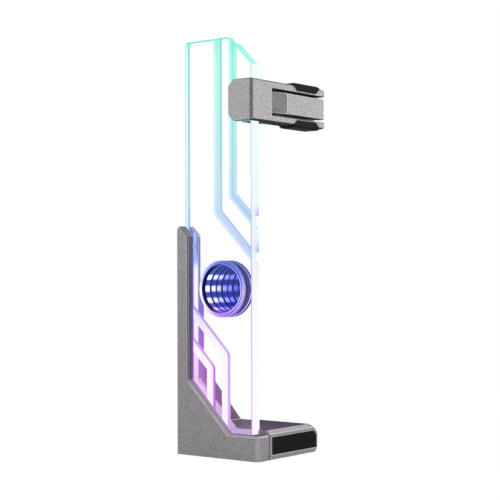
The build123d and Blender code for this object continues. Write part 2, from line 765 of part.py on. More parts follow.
def lever():
    outer = ARM_X1 - LEVER_INSET
    inner = outer - LEVER_T
    ramp_y = JAW_Y1 + RAMP_LENGTH
    arm = shape(
        (PIN_X - 1.0, PIN_Y - 1.0),
        (outer - RAMP_DROP, PIN_Y - 1.0),
        (outer, ramp_y),
        (outer, ARM_Y1),
        (inner + 1.5, ARM_Y1),
        (inner, ARM_Y1 - 5.0),
        (inner, ramp_y - 6.0),
        (PIN_X - HUB_R + 0.4, PIN_Y + 1.0),
    )
    hub = Pos(PIN_X, PIN_Y - CAM_LIFT) * Circle(HUB_R)
    slope = RAMP_DROP / (ramp_y - PIN_Y + 1.0)
    reach = ramp_y - (JAW_Y1 - 5.0)
    keep = shape(
        (PIN_X - 20.0, JAW_Y1 - 5.0),
        (outer - slope * reach, JAW_Y1 - 5.0),
        (outer, ramp_y),
        (outer, ARM_Y1),
        (PIN_X - 20.0, ARM_Y1),
    )
    body = upright((arm + hub) & keep, LEVER_Z0, LEVER_Z1)
    body -= drum_z(PIN_X, PIN_Y, PIN_D / 2 + PIN_FIT, LEVER_Z0, LEVER_Z1)
    # weight-saving pocket in the hidden inner face
    hollow = room(
        inner - 1.0, inner + LEVER_T - 2.0, ramp_y, ARM_Y1 - 8.0, LEVER_Z0 + 2.0, LEVER_Z1 - 2.0
    )
    body -= hollow
    face = (
        body.edges()
        .filter_by(Axis.Y)
        .filter_by(lambda e: e.center().X > outer - 0.01)
    )
    return chamfer(face, 0.5)


def lever_pin():
    top = ARM_Z1 - 2.0
    return chamfer(drum_z(PIN_X, PIN_Y, PIN_D / 2, ARM_Z0 + 0.3, top).edges(), 0.3)


def lever_washer(z0, z1):
    body = drum_z(PIN_X, PIN_Y, WASHER_R, z0, z1)
    return body - drum_z(PIN_X, PIN_Y, PIN_D / 2 + PIN_FIT, z0, z1)


def rubber_cover(side):
    """Rubber cover over the arm's top (side 1) or bottom (side -1) edge."""
    rim = ARM_Z1 if side > 0 else ARM_Z0
    drop = side * COVER_DROP
    proud = side * COVER_PROUD
    taper = 5.0
    outline = shape(
        (COVER_Y0, rim),
        (COVER_Y0 + taper, rim - drop),
        (COVER_Y1 - taper, rim - drop),
        (COVER_Y1, rim),
        (COVER_Y1 - abs(proud), rim + proud),
        (COVER_Y0 + abs(proud), rim + proud),
    )
    body = along(outline, ARM_BAR_X0 - COVER_SIDE, ARM_X1 + COVER_SIDE)
    top = body.edges().filter_by(Axis.Y).filter_by(lambda e: abs(e.center().Z - rim - proud) < 0.01)
    body = chamfer(top, 1.0)
    bar = upright(arm_outline(), ARM_Z0, ARM_Z1)
    rims = (
        bar.edges()
        .filter_by(Axis.Y)
        .filter_by(lambda e: e.center().X > ARM_X1 - 0.01 and e.length > ARM_LENGTH / 2)
    )
    return body - chamfer(rims, 0.8)


def parts():
    """Every piece by its name."""
    made = {
        "front_housing": front_housing(),
        "side_foot": side_foot(),
        "bottom_plate": bottom_plate(),
        "base_pad": base_pad(),
        "end_pad": end_pad(),
        "light_panel": light_panel(),
        "column_light_strip": column_light_strip(),
        "base_light_strip": base_light_strip(),
        "control_board": control_board(),
        "light_socket": light_socket(),
        "ring_front_bezel": ring_front_bezel(),
        "ring_half_mirror": ring_half_mirror(),
        "ring_light_guide": ring_light_guide(),
        "ring_back_mirror": ring_back_mirror(),
        "ring_light_board": ring_light_board(),
        "ring_rear_cap": ring_rear_cap(),
        "support_arm": support_arm(),
        "jaw_liner": jaw_liner(),
        "arm_top_cover": rubber_cover(1),
        "arm_bottom_cover": rubber_cover(-1),
        "clamp_shoe": clamp_shoe(),
        "clamp_shoe_pad": clamp_shoe_pad(),
        "lever": lever(),
        "lever_pin": lever_pin(),
        "lever_washer_low": lever_washer(POCKET_Z0, LEVER_Z0),
        "lever_washer_high": lever_washer(LEVER_Z1, POCKET_Z1),
    }
    screw = plain_screw(SCREW_D, SCREW_HEAD_D, SCREW_HEAD_T, SCREW_L)
    for i, (x, y) in enumerate(FRONT_SCREWS + REAR_SCREWS, 1):
        made[f"plate_screw_{i}"] = Pos(x, y, PLATE_GAP) * screw
    wall_length = WALL_Y1 - WALL_SCREW_END - 0.5
    wall_screw = plain_screw(SCREW_D, SCREW_HEAD_D, SCREW_HEAD_T, wall_length)
    for i, (x, z) in enumerate(WALL_SCREWS, 1):
        made[f"wall_screw_{i}"] = Pos(x, WALL_Y1, z) * Rot(90, 0, 0) * wall_screw
    board_screw = plain_screw(BOARD_SCREW_D, 3.6, 1.0, BOARD_SCREW_L)
    for i, (x, y) in enumerate(BOARD_POSTS, 1):
        made[f"board_screw_{i}"] = Pos(x, y, BOARD_Z - 1.0) * board_screw
    return made


def main():
    os.makedirs("parts", exist_ok=True)
    for name, solid in parts().items():
        export_step(Pos(0, 0, LIFT) * solid, f"parts/{name}.step")


main()
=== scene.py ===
"""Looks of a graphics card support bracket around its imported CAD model.

A clear light panel stands in a speckled grey metal base and column. Its etched grooves glow
from mint at the top to magenta at the bottom, a ring with a mirror tunnel is set in it, and a
clamp arm with rubber covers holds on to its front edge.
"""

from __future__ import annotations

import logging
import math
from dataclasses import dataclass, field
from enum import Enum
from typing import Any, Mapping, Sequence

import bpy
import numpy as np
from mathutils import Matrix, Vector

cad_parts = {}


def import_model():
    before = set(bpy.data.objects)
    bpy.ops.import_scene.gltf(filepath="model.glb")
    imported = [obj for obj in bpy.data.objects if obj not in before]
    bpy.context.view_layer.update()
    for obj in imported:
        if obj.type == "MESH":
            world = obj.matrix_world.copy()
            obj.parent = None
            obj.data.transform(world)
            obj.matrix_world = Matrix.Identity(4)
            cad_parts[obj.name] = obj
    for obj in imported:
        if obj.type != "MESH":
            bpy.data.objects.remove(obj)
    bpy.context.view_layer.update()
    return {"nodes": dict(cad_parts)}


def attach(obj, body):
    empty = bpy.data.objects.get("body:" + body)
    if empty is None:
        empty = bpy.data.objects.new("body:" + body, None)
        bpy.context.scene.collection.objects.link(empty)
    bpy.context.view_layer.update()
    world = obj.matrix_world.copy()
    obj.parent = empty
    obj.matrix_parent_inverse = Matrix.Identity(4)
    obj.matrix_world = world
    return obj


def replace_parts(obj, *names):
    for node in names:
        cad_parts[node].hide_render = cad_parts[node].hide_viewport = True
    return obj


LOG = logging.getLogger("support_bracket")
MM = 0.001
STAND = "stand"  # the CAD body that every added piece rides on
LIFT = 0.8  # the housings' underside stands this far above the floor, in mm
PANEL_MIDDLE = -24.4  # the light panel's middle plane along Y, in mm
PANEL_HALF = 4.5  # half of the light panel's thickness, in mm
PANEL_TOP = 290.0  # its top without the lift, in mm
SEAM = -22.0  # where the two housings meet along Y, in mm
RING_X = 3.5  # the ring light's axis, in mm
RING_Z = 116.3 + LIFT
LEVEL = (0.8, 0.95)  # upward part of the way a face looks, as it comes to count as level
LIGHT_BOUNCES = 24  # enough for the light in the mirror tunnel and in the clear panel
GLOSSY_BOUNCES = 20  # times that light is mirrored
CLEAR_BOUNCES = 16  # times that it passes a clear face
MULTIPLY = {"operation": "MULTIPLY"}
ADD = {"operation": "ADD"}
SUBTRACT = {"operation": "SUBTRACT"}
MAXIMUM = {"operation": "MAXIMUM"}
ABSOLUTE = {"operation": "ABSOLUTE"}
Stops = Sequence[tuple[float, str]]
Span = tuple[float, float]


class Slot(Enum):
    """The record's material slots."""

    PANEL = "clear_panel"
    RING = "dark_aluminium"
    MIRROR = "mirror"


def linear(code: str) -> tuple[float, float, float, float]:
    """Turns an sRGB hex colour to linear light.

    Args:
        code: Six hex digits after a hash sign.

    Returns:
        Red, green, blue and an alpha of 1.
    """
    values = [int(code[i : i + 2], 16) / 255 for i in (1, 3, 5)]
    r, g, b = (v / 12.92 if v <= 0.04045 else ((v + 0.055) / 1.055) ** 2.4 for v in values)
    return (r, g, b, 1.0)


def metres(*lengths: float) -> list[float]:
    """Turns lengths in mm to metres."""
    return [length * MM for length in lengths]


class Recipe:
    """A node tree being put together for a finish, or for the studio's surroundings."""

    def __init__(self, owner: bpy.types.Material | bpy.types.World) -> None:
        """Empties the owner's tree.

        Args:
            owner: The material or world that the tree belongs to.
        """
        owner.use_nodes = True
        self.owner = owner
        self.tree = owner.node_tree
        self.tree.nodes.clear()

    def add(
        self,
        kind: str,
        inputs: Mapping[str, Any] | Sequence[Any] = (),
        settings: Mapping[str, Any] | None = None,
        stops: Stops = (),
    ) -> Any:
        """Adds a node with its settings and links.

        Args:
            kind: The node's type name, without its leading "ShaderNode".
            inputs: What goes into its sockets, in order or by name: a node's first output,
                a socket, a hex colour or a number. None leaves a socket alone.
            settings: The node's own attributes.
            stops: A colour ramp's positions and hex colours.

        Returns:
            The new node.
        """
        node = self.tree.nodes.new("ShaderNode" + kind)
        for key, value in (settings or {}).items():
            setattr(node, key, value)
        named = inputs.items() if isinstance(inputs, Mapping) else enumerate(inputs)
        for key, value in named:
            if isinstance(value, bpy.types.Node):
                value = value.outputs[0]
            if isinstance(value, bpy.types.NodeSocket):
                self.tree.links.new(value, node.inputs[key])
            elif isinstance(value, str):
                node.inputs[key].default_value = linear(value)
            elif value is not None:
                node.inputs[key].default_value = value
        if stops:
            elements = node.color_ramp.elements
            elements.remove(elements[1])
            elements[0].position = stops[0][0]
            elements[0].color = linear(stops[0][1])
            for at, code in stops[1:]:
                elements.new(at).color = linear(code)
        return node

    def finish(self, shader: Any) -> Any:
        """Links the shader to the output.

        Args:
            shader: The tree's last node.

        Returns:
            The material or world that the tree belongs to.
        """
        kind = "OutputWorld" if isinstance(self.owner, bpy.types.World) else "OutputMaterial"
        self.add(kind, [shader])
        return self.owner


def new_finish(name: str) -> Recipe:
    """Starts a material of that name."""
    return Recipe(bpy.data.materials.new(name))


def axes(r: Recipe, of: str) -> Any:
    """Adds nodes that split the place (Object), the way a face looks (Normal) or the map (UV)."""
    return r.add("SeparateXYZ", [r.add("TexCoord").outputs[of]]).outputs


def height_factor(r: Recipe) -> Any:
    """Adds nodes for the height above the floor, as a share of PANEL_TOP."""
    return r.add("MapRange", [axes(r, "Object")[2], 0.0, PANEL_TOP * MM, 0.0, 1.0])


def panel_light(r: Recipe) -> tuple[Any, Any, Any, Any]:
    """Adds nodes for the panel's colours at a height.

    Args:
        r: The recipe.

    Returns:
        The height's share, and the deep, the pale and the line's colour.
    """
    tall = height_factor(r)
    ramps = (DEEP_LIGHT, PALE_LIGHT, LINE_LIGHT)
    return tall, *(r.add("ValToRGB", [tall], stops=stops) for stops in ramps)


def from_ring(r: Recipe, place: Any) -> tuple[Any, Any, Any]:
    """Adds nodes for how far a place is from the ring light's axis.

    Args:
        r: The recipe.
        place: The place's axes.

    Returns:
        How far it is across and up, and the distance, which is sqrt(x * x + z * z).
    """
    x = r.add("Math", [place[0], RING_X * MM], SUBTRACT)
    z = r.add("Math", [place[2], RING_Z * MM], SUBTRACT)
    xx = r.add("Math", [x, x], MULTIPLY)
    zz = r.add("Math", [z, z], MULTIPLY)
    squares = r.add("Math", [xx, zz], ADD)
    return x, z, r.add("Math", [squares, 0.5], {"operation": "POWER"})


def grained(r: Recipe, size_mm: float, rough: float, stops: Stops) -> tuple[Any, Any, Any]:
    """Adds nodes for a fine grain.

    Args:
        r: The recipe.
        size_mm: Size of its specks.
        rough: The surface's roughness.
        stops: Its colours.

    Returns:
        Its height, its colour and its roughness.
    """
    here = r.add("TexCoord").outputs["Object"]
    grain = r.add("TexNoise", {"Vector": here, "Scale": 1 / (size_mm * MM), "Detail": 3.0})
    colour = r.add("ValToRGB", [grain], stops=stops)
    return grain, colour, r.add("MapRange", [grain, 0.3, 0.7, rough - 0.06, rough + 0.1])


def seen_rays(r: Recipe) -> tuple[Any, Any]:
    """Adds nodes for what the eye sees, straight or through the clear panel.

    Args:
        r: The recipe.

    Returns:
        1 for those rays, and the node that knows the other kinds of ray.
    """
    path = r.add("LightPath")
    rays = [path.outputs["Is Camera Ray"], path.outputs["Is Transmission Ray"]]
    return r.add("Math", rays, MAXIMUM), path


# The light's colours from the floor (0) to the panel's top (1).
DEEP_LIGHT: Stops = (
    (0.05, "#F4C6FF"),
    (0.25, "#EBC4FA"),
    (0.36, "#C9B4FA"),
    (0.44, "#9DB0F2"),
    (0.52, "#8FB6F2"),
    (0.60, "#97C6F6"),
    (0.70, "#93D8EA"),
    (0.82, "#78E4E0"),
    (0.94, "#68F4E0"),
    (1.00, "#50EEDA"),
)
PALE_LIGHT: Stops = (
    (0.05, "#FFF8FF"),
    (0.30, "#FFFAFF"),
    (0.40, "#F6F6FF"),
    (0.48, "#DCE8FB"),
    (0.58, "#DAF0FC"),
    (0.70, "#DDFAFC"),
    (0.86, "#E2FFFB"),
    (0.96, "#DCFFFA"),
    (1.00, "#B8FFF4"),
)
LINE_LIGHT: Stops = (
    (0.05, "#C65EEE"),
    (0.25, "#AE54DE"),
    (0.36, "#9064E2"),
    (0.46, "#6E86E0"),
    (0.52, "#7C9CDC"),
    (0.62, "#A4C6DC"),
    (0.74, "#88CED0"),
    (0.90, "#6CDCCF"),
    (1.00, "#5CE0CE"),
)


@dataclass(frozen=True)
class WhiteBand:
    """Upright band of nearly white light painted on the wall behind the panel, before the light
    strip.
    """

    left_mm: Span = (-30.0, -28.6)  # X where its soft left edge begins and ends
    right_mm: Span = (-25.6, -24.7)  # and its right one
    narrower_mm: float = 1.6  # what it loses at the right in its upper end
    narrower_at: Span = (0.47, 0.5)  # heights where it does, as shares of the panel's top
    fades_at: Span = (0.455, 0.475)  # heights where it fades
    fades_to: float = 0.7
    foot_at: Span = (0.17, 0.19)  # below this the whole wall is in its light

    def share(self, r: Recipe, x: Any, tall: Any) -> Any:
        """Adds nodes for how much of the light is the band's.

        Args:
            r: The recipe.
            x: The place across.
            tall: The height's share.

        Returns:
            A share from 0 to 1.
        """
        narrow = r.add("MapRange", [tall, *self.narrower_at, 0.0, self.narrower_mm * MM])
        narrow = r.add("Math", [x, narrow], ADD)
        band = r.add("MapRange", [x, *metres(*self.left_mm), 0.0, 1.0])
        right = r.add("MapRange", [narrow, *metres(*self.right_mm), 1.0, 0.0])
        band = r.add("Math", [band, right], MULTIPLY)
        high = r.add("MapRange", [tall, *self.fades_at, 1.0, self.fades_to])
        band = r.add("Math", [band, high], MULTIPLY)
        low = r.add("MapRange", [tall, *self.foot_at, 1.0, 0.0])
        return r.add("Math", [band, low], MAXIMUM)


@dataclass(frozen=True)
class Face:
    """Nodes for where a point of the coat is, and which way it looks.

    rise is the upward part of the way it looks, below 0 where it looks down. side is -1 before
    the panel and 1 behind it, and away is how far off the panel's face is. square grows from 0
    to 1 as the coat turns to the panel, and right and up say how far it looks those ways.
    """

    x: Any
    z: Any
    rise: Any
    side: Any
    away: Any
    square: Any
    right: Any
    up: Any


@dataclass(frozen=True)
class SpeckledPaint:
    """Metallic powder coat on die-cast metal: matt grey with fine light and dark flakes.

    The panel's light is painted on it as emission, and shade and highlights by how faces look.
    """

    name: str
    dark: str = "#8B888C"
    light: str = "#C3C0C4"
    flake_mm: float = 0.55  # real flakes are finer, and wouldn't show at this size
    bump_mm: float = 0.06
    rough: Span = (0.36, 0.52)
    glow: float = 0.0  # strength of the panel's light, painted on the coat as emission
    near_reach_mm: float = 1.5  # how far that light reaches before the panel
    far_reach_mm: float = 28.0  # and behind it
    top_reach_mm: float = 30.0  # and on level faces
    edge_share: float = 0.9  # what faces that look right or up get of it
    high_share: float = 0.3  # what they get along the column's upper part
    top_share: float = 0.33  # what level faces get
    under: float = 0.0  # what faces that look down get
    shaded: bool = True  # whether the painted shade and light of the next seven fields apply
    side_shades: Span = (0.25, 0.08)  # painted shade on faces that look right, before and behind the panel
    high_shade: float = 0.4  # the same painted shade along the column's upper part
    top_shade: float = 0.26  # painted shade on level faces
    veil_shade: float = 0.1  # painted shade on faces that the panel's painted light covers
    slope_light_and_shade: Span = (1.15, 0.72)  # painted light and shade on sloped faces, low and high
    end_light: float = 1.45  # painted light on sloped faces at the foot's end
    tall_light: float = 1.16  # painted light on the column's upper part
    seam: bool = False  # whether the seam between the housings gets painted shade, as a dark line
    seam_mm: Span = (0.3, 0.6)  # half the line's width, and its soft edge
    # how dark the seam's painted shade is
    seam_shade: float = 0.15
    corner: float = 1.0  # painted shade on the upright corners' flats, as a factor
    low_corner_light: float = 1.0  # the same below the gusset's top, where above 1 it is painted light
    rim: float = 1.0  # painted shade on faces that lean, as on the arm's top and bottom edges
    under_shade: float = 0.08  # painted shade on faces that look down
    fades_mm: Span = (125.0, 155.0)  # heights between the column's lower and upper part
    end_mm: Span = (20.0, 29.0)  # X where the panel's light ends, and the foot's end begins
    level_end_mm: float = 50.0  # where it ends on level faces
    slope_mm: Span = (100.0, 150.0)  # heights between the low and the high slope's tone
    tall_mm: Span = (60.0, 170.0)  # heights over which the column's tone changes
    gusset_mm: Span = (52.0, 54.0)  # the gusset's top
    # How far a face has to turn, as a part of the way it looks or a product of two parts
    toward_panel: Span = (-0.1, -0.8)
    sloped: Span = (0.2, 0.45)
    at_corner: Span = (-0.26, -0.1)
    leaning: Span = (0.1, 0.35)
    downward: Span = (-0.3, -0.8)
    toward_back: Span = (0.94, 0.99)
    band: WhiteBand = WhiteBand()
    core: Stops = (  # the light's colours in the band, from the floor to the panel's top
        (0.05, "#BCA6CC"),
        (0.072, "#C49CDA"),
        (0.18, "#EFC4FA"),
        (0.28, "#F8ECFF"),
        (0.44, "#FCF8FF"),
        (0.455, "#F0F2FF"),
        (0.475, "#B8C2FA"),
        (0.55, "#D2D8FA"),
        (0.80, "#35C9AE"),
    )
    stops: Stops = (  # and beside it
        (0.00, "#9A58A8"),
        (0.10, "#A45CB4"),
        (0.18, "#B05CCE"),
        (0.26, "#A848E4"),
        (0.33, "#7C4CDC"),
        (0.40, "#6A60D4"),
        (0.48, "#5470DC"),
        (0.54, "#5C76D8"),
        (0.80, "#2FBFAE"),
        (1.00, "#35C9AE"),
    )

    def face(self, r: Recipe, place: Any, way: Any) -> Face:
        """Adds nodes for how a point of the coat lies to the light panel.

        Args:
            r: The recipe.
            place: The place's axes.
            way: The axes of the way that the coat looks.

        Returns:
            The nodes that the painted light and shade are worked out from.
        """
        offset = r.add("Math", [place[1], -PANEL_MIDDLE * MM], ADD)
        side = r.add("Math", [offset], {"operation": "SIGN"})
        away = r.add("Math", [offset], ABSOLUTE)
        away = r.add("Math", [away, PANEL_HALF * MM], SUBTRACT)
        away = r.add("Math", [away, 0.0], MAXIMUM)
        square = r.add("Math", [way[1], side], MULTIPLY)
        square = r.add("MapRange", [square, *self.toward_panel, 0.0, 1.0])
        right = r.add("Math", [way[0], 0.0], MAXIMUM)
        up = r.add("Math", [way[2], 0.0], MAXIMUM)
        return Face(place[0], place[2], way[2], side, away, square, right, up)

    def painted_glow(self, r: Recipe, face: Face) -> tuple[Any, Any]:
        """Adds nodes for the panel's light, painted on the coat as emission.

        The share is exp(-distance / reach) times how far the face turns to the panel. The reach
        is longer behind the panel, and nothing beyond the panel's right edge has any light.

        Args:
            r: The recipe.
            face: How the coat lies to the panel.

        Returns:
            The share of light, and where any of it falls.
        """
        reaches = metres(self.near_reach_mm, self.far_reach_mm)
        reach = r.add("MapRange", [face.side, -1.0, 1.0, *reaches])
        reach = r.add("MapRange", [face.rise, *LEVEL, reach, self.top_reach_mm * MM])
        fall = r.add("Math", [face.away, reach], {"operation": "DIVIDE"})
        fall = r.add("Math", [fall, -1.0], MULTIPLY)
        fall = r.add("Math", [fall], {"operation": "EXPONENT"})
        flat = r.add("Math", [face.right, face.up], MAXIMUM)
        fades = metres(*self.fades_mm)
        edge = r.add("MapRange", [face.z, *fades, self.edge_share, self.high_share])
        edge = r.add("MapRange", [face.up, *LEVEL, edge, self.top_share])
        edge = r.add("Math", [flat, edge], MULTIPLY)
        down = r.add("Math", [face.rise, -self.under], MULTIPLY)
        down = r.add("Math", [down, 0.0], MAXIMUM)
        total = r.add("Math", [face.square, edge], ADD)
        total = r.add("Math", [total, down], ADD)
        share = r.add("Math", [total, fall], MULTIPLY)
        start, stop, level_stop = metres(*self.end_mm, self.level_end_mm)
        end = r.add("MapRange", [face.up, *LEVEL, stop, level_stop])
        inside = r.add("MapRange", [face.x, start, end, self.glow, 0.0])
        share = r.add("Math", [share, inside], MULTIPLY)
        return share, inside

    def shade(self, r: Recipe, face: Face, inside: Any) -> Any:
        """Adds nodes for painted shade and light on the coat, by the way that it looks.

        Args:
            r: The recipe.
            face: How the coat lies to the panel.
            inside: Where the panel's light falls.

        Returns:
            What the coat's colour is multiplied by.
        """
        fades = metres(*self.fades_mm)
        ends = metres(*self.end_mm)
        beyond = r.add("MapRange", [face.side, -1.0, 1.0, *self.side_shades])
        beyond = r.add("MapRange", [face.z, *fades, beyond, self.high_shade])
        beyond = r.add("MapRange", [face.x, *ends, beyond, 1.0])
        beyond = r.add("MapRange", [face.right, *LEVEL, 1.0, beyond])
        above = r.add("MapRange", [face.up, *LEVEL, 1.0, self.top_shade])
        veil = r.add("Math", [face.square, inside], MULTIPLY)
        above = r.add("MapRange", [veil, 0.0, 1.0, above, self.veil_shade])
        slope = r.add("Math", [face.right, face.up], MULTIPLY)
        sloped = r.add("MapRange", [face.z, *metres(*self.slope_mm), *self.slope_light_and_shade])
        sloped = r.add("MapRange", [face.x, *ends, sloped, self.end_light])
        slope = r.add("MapRange", [slope, *self.sloped, 1.0, sloped])
        tall = r.add("MapRange", [face.z, *metres(*self.tall_mm), 1.0, self.tall_light])
        shade = beyond
        for tone in (above, slope, tall):
            shade = r.add("Math", [shade, tone], MULTIPLY)
        return shade

    def marked(self, r: Recipe, colour: Any, place: Any, way: Any) -> Any:
        """Adds nodes for painted shade and light: the seam, corners' flats, rims and undersides.

        Args:
            r: The recipe.
            colour: The coat's colour.
            place: The place's axes.
            way: The axes of the way that the coat looks.

        Returns:
            The colour with this painted shade and light.
        """
        # painted shade in the seam's groove between the two housings
        if self.seam:
            gap = r.add("Math", [place[1], -SEAM * MM], ADD)
            gap = r.add("Math", [gap], ABSOLUTE)
            gap = r.add("MapRange", [gap, *metres(*self.seam_mm), self.seam_shade, 1.0])
            across = r.add("Math", [way[1]], ABSOLUTE)
            gap = r.add("MapRange", [across, *self.toward_back, gap, 1.0])
            colour = r.add("VectorMath", [colour, gap], MULTIPLY)
        # painted shade on the corners' flats, and painted light below the gusset where the factor
        # is above 1
        if self.corner != 1:
            turned = r.add("Math", [way[0], way[1]], MULTIPLY)
            gusset = metres(*self.gusset_mm)
            tone = r.add("MapRange", [place[2], *gusset, self.low_corner_light, self.corner])
            turned = r.add("MapRange", [turned, *self.at_corner, tone, 1.0])
            colour = r.add("VectorMath", [colour, turned], MULTIPLY)
        # painted shade on faces that lean
        if self.rim < 1:
            tilt = r.add("Math", [way[2]], ABSOLUTE)
            tilt = r.add("MapRange", [tilt, *self.leaning, 1.0, self.rim])
            colour = r.add("VectorMath", [colour, tilt], MULTIPLY)
        # painted shade on faces that look down
        below = r.add("MapRange", [way[2], *self.downward, 1.0, self.under_shade])
        return r.add("VectorMath", [colour, below], MULTIPLY)

    def make(self) -> bpy.types.Material:
        """Makes the coat: noise flakes in two tones, painted shade, and the panel's light painted
        as emission.

        Returns:
            The material.
        """
        r = new_finish(self.name)
        here = r.add("TexCoord").outputs["Object"]
        flakes = r.add("TexNoise", {"Vector": here, "Scale": 1 / (self.flake_mm * MM)})
        colour = r.add("ValToRGB", [flakes], stops=[(0.36, self.dark), (0.64, self.light)])
        bump = {"Strength": 0.25, "Distance": self.bump_mm * MM, "Height": flakes.outputs[0]}
        place, way = axes(r, "Object"), axes(r, "Normal")
        colour = self.marked(r, colour, place, way)
        level = r.add("Math", [way[2]], ABSOLUTE)
        sockets = {
            "Base Color": colour,
            "Roughness": r.add("MapRange", [flakes, 0.3, 0.7, *self.rough]),
            "Normal": r.add("Bump", bump),
            "Specular IOR Level": r.add("MapRange", [level, *LEVEL, 0.2, 0.0]),
        }
        # the panel's light, painted on the coat as emission
        if self.glow:
            face = self.face(r, place, way)
            share, inside = self.painted_glow(r, face)
            tall = height_factor(r)
            glow = r.add("ValToRGB", [tall], stops=self.stops)
            core = r.add("ValToRGB", [tall], stops=self.core)
            band = self.band.share(r, face.x, tall)
            white = r.add("Math", [face.square, band], MULTIPLY)
            sockets["Emission Color"] = r.add("MixRGB", [white, glow, core])
            sockets["Emission Strength"] = share
            # painted shade and light on the base colour, by the way each face looks
            if self.shaded:
                tones = [colour, self.shade(r, face, inside)]
                sockets["Base Color"] = r.add("VectorMath", tones, MULTIPLY)
        return r.finish(r.add("BsdfPrincipled", sockets))


@dataclass(frozen=True)
class MouldedPolymer:
    """Moulded rubber or plastic: an even dark skin with a fine matt grain."""

    name: str = "moulded_black_rubber"
    dark: str = "#080709"
    light: str = "#121013"
    rough: float = 0.6
    grain_mm: float = 0.7
    bump_mm: float = 0.08

    def make(self) -> bpy.types.Material:
        """Makes the polymer: two near tones and a low bump.

        Returns:
            The material.
        """
        r = new_finish(self.name)
        stops = [(0.3, self.dark), (0.75, self.light)]
        grain, colour, rough = grained(r, self.grain_mm, self.rough, stops)
        bump = {"Strength": 0.3, "Distance": self.bump_mm * MM, "Height": grain.outputs[0]}
        sockets = {
            "Base Color": colour,
            "Roughness": rough,
            "Normal": r.add("Bump", bump),
            "IOR": 1.5,
            "Specular IOR Level": 0.1,
        }
        return r.finish(r.add("BsdfPrincipled", sockets))


@dataclass(frozen=True)
class TurnedMetal:
    """Plain or anodised metal, turned on a lathe, with a faint grain."""

    name: str = "bright_steel"
    dark: str = "#8A8A8E"
    light: str = "#B4B4B8"
    rough: float = 0.3
    grain_mm: float = 0.9

    def make(self) -> bpy.types.Material:
        """Makes the metal: a mirror-like base, dulled by the grain.

        Returns:
            The material.
        """
        r = new_finish(self.name)
        stops = [(0.3, self.dark), (0.7, self.light)]
        _, colour, rough = grained(r, self.grain_mm, self.rough, stops)
        sockets = {"Base Color": colour, "Roughness": rough, "Metallic": 1.0}
        return r.finish(r.add("BsdfPrincipled", sockets))


@dataclass(frozen=True)
class RingCoat:
    """Anodised ring with turned lines; the tunnel's and the panel's light on it is painted as
    emission.
    """

    glow: float = 1.15
    spread_mm: float = 20.0  # the rim's radius
    half_mm: float = 19.0  # how far up and down the colours below spread
    turn_mm: float = 9.0  # how far left and right the two sets of lines blend
    side_mm: Span = (-33.0, -30.0)  # Y where the rim's lit side begins to fade, and ends
    rim_at: Span = (0.965, 0.975)  # share of the radius where that side begins
    # painted highlight on the rim's lit side
    rim_light: str = "#E0D8FF"
    tint: str = "#5A56A0"
    least: str = "#1C1A3C"  # the metal is never darker than this
    around: Stops = (  # painted light's colours, from the ring's bottom to its top
        (0.00, "#B884F8"),
        (0.20, "#E4D4FF"),
        (0.45, "#F4F4FF"),
        (0.75, "#A4B0F4"),
        (1.00, "#6478CC"),
    )
    left: Stops = (  # painted light and shade of the lines on the left side, from the opening (0.8) to the rim (1)
        (0.80, "#080828"),
        (0.865, "#10103C"),
        (0.88, "#FFFFFF"),
        (0.972, "#FFFFFF"),
        (0.98, "#303058"),
    )
    # painted light and shade of the lines on the right side
    right: Stops = (
        (0.80, "#8088D0"),
        (0.860, "#FFFFFF"),
        (0.880, "#F0F0FF"),
        (0.890, "#24245C"),
        (0.920, "#30306C"),
        (0.928, "#F8F8FF"),
        (0.950, "#F8F8FF"),
        (0.958, "#38347C"),
        (0.970, "#5C58A0"),
        (0.975, "#141230"),
    )

    def make(self) -> bpy.types.Material:
        """Makes the coat: painted light by the place round the ring, times lines by the radius.

        Returns:
            The material.
        """
        r = new_finish("anodised_ring")
        place = axes(r, "Object")
        x, z, radius = from_ring(r, place)
        height = r.add("MapRange", [z, *metres(-self.half_mm, self.half_mm), 0.0, 1.0])
        colour = r.add("ValToRGB", [height], stops=self.around)
        radius = r.add("MapRange", [radius, 0.0, self.spread_mm * MM, 0.0, 1.0])
        side = r.add("MapRange", [x, *metres(-self.turn_mm, self.turn_mm), 0.0, 1.0])
        left = r.add("ValToRGB", [radius], stops=self.left)
        right = r.add("ValToRGB", [radius], stops=self.right)
        lines = r.add("MixRGB", [side, left, right])
        rim = r.add("MapRange", [radius, *self.rim_at, 0.0, 1.0])
        # painted highlight on the rim's lit side, near its front
        near = r.add("MapRange", [place[1], *metres(*self.side_mm), 0.85, 0.0])
        for share in (rim, side):
            near = r.add("Math", [near, share], MULTIPLY)
        lines = r.add("MixRGB", [near, lines, self.rim_light])
        lit = r.add("VectorMath", [colour, lines], MULTIPLY)
        # the base colour follows the painted light and shade of the lines too, tinted
        base = r.add("MixRGB", [1.0, lines, self.tint], {"blend_type": "MULTIPLY"})
        base = r.add("MixRGB", [1.0, base, self.least], {"blend_type": "LIGHTEN"})
        sockets = {
            "Base Color": base,
            "Metallic": 1.0,
            "Roughness": 0.3,
            "Emission Color": lit,
            "Emission Strength": self.glow,
        }
        return r.finish(r.add("BsdfPrincipled", sockets))


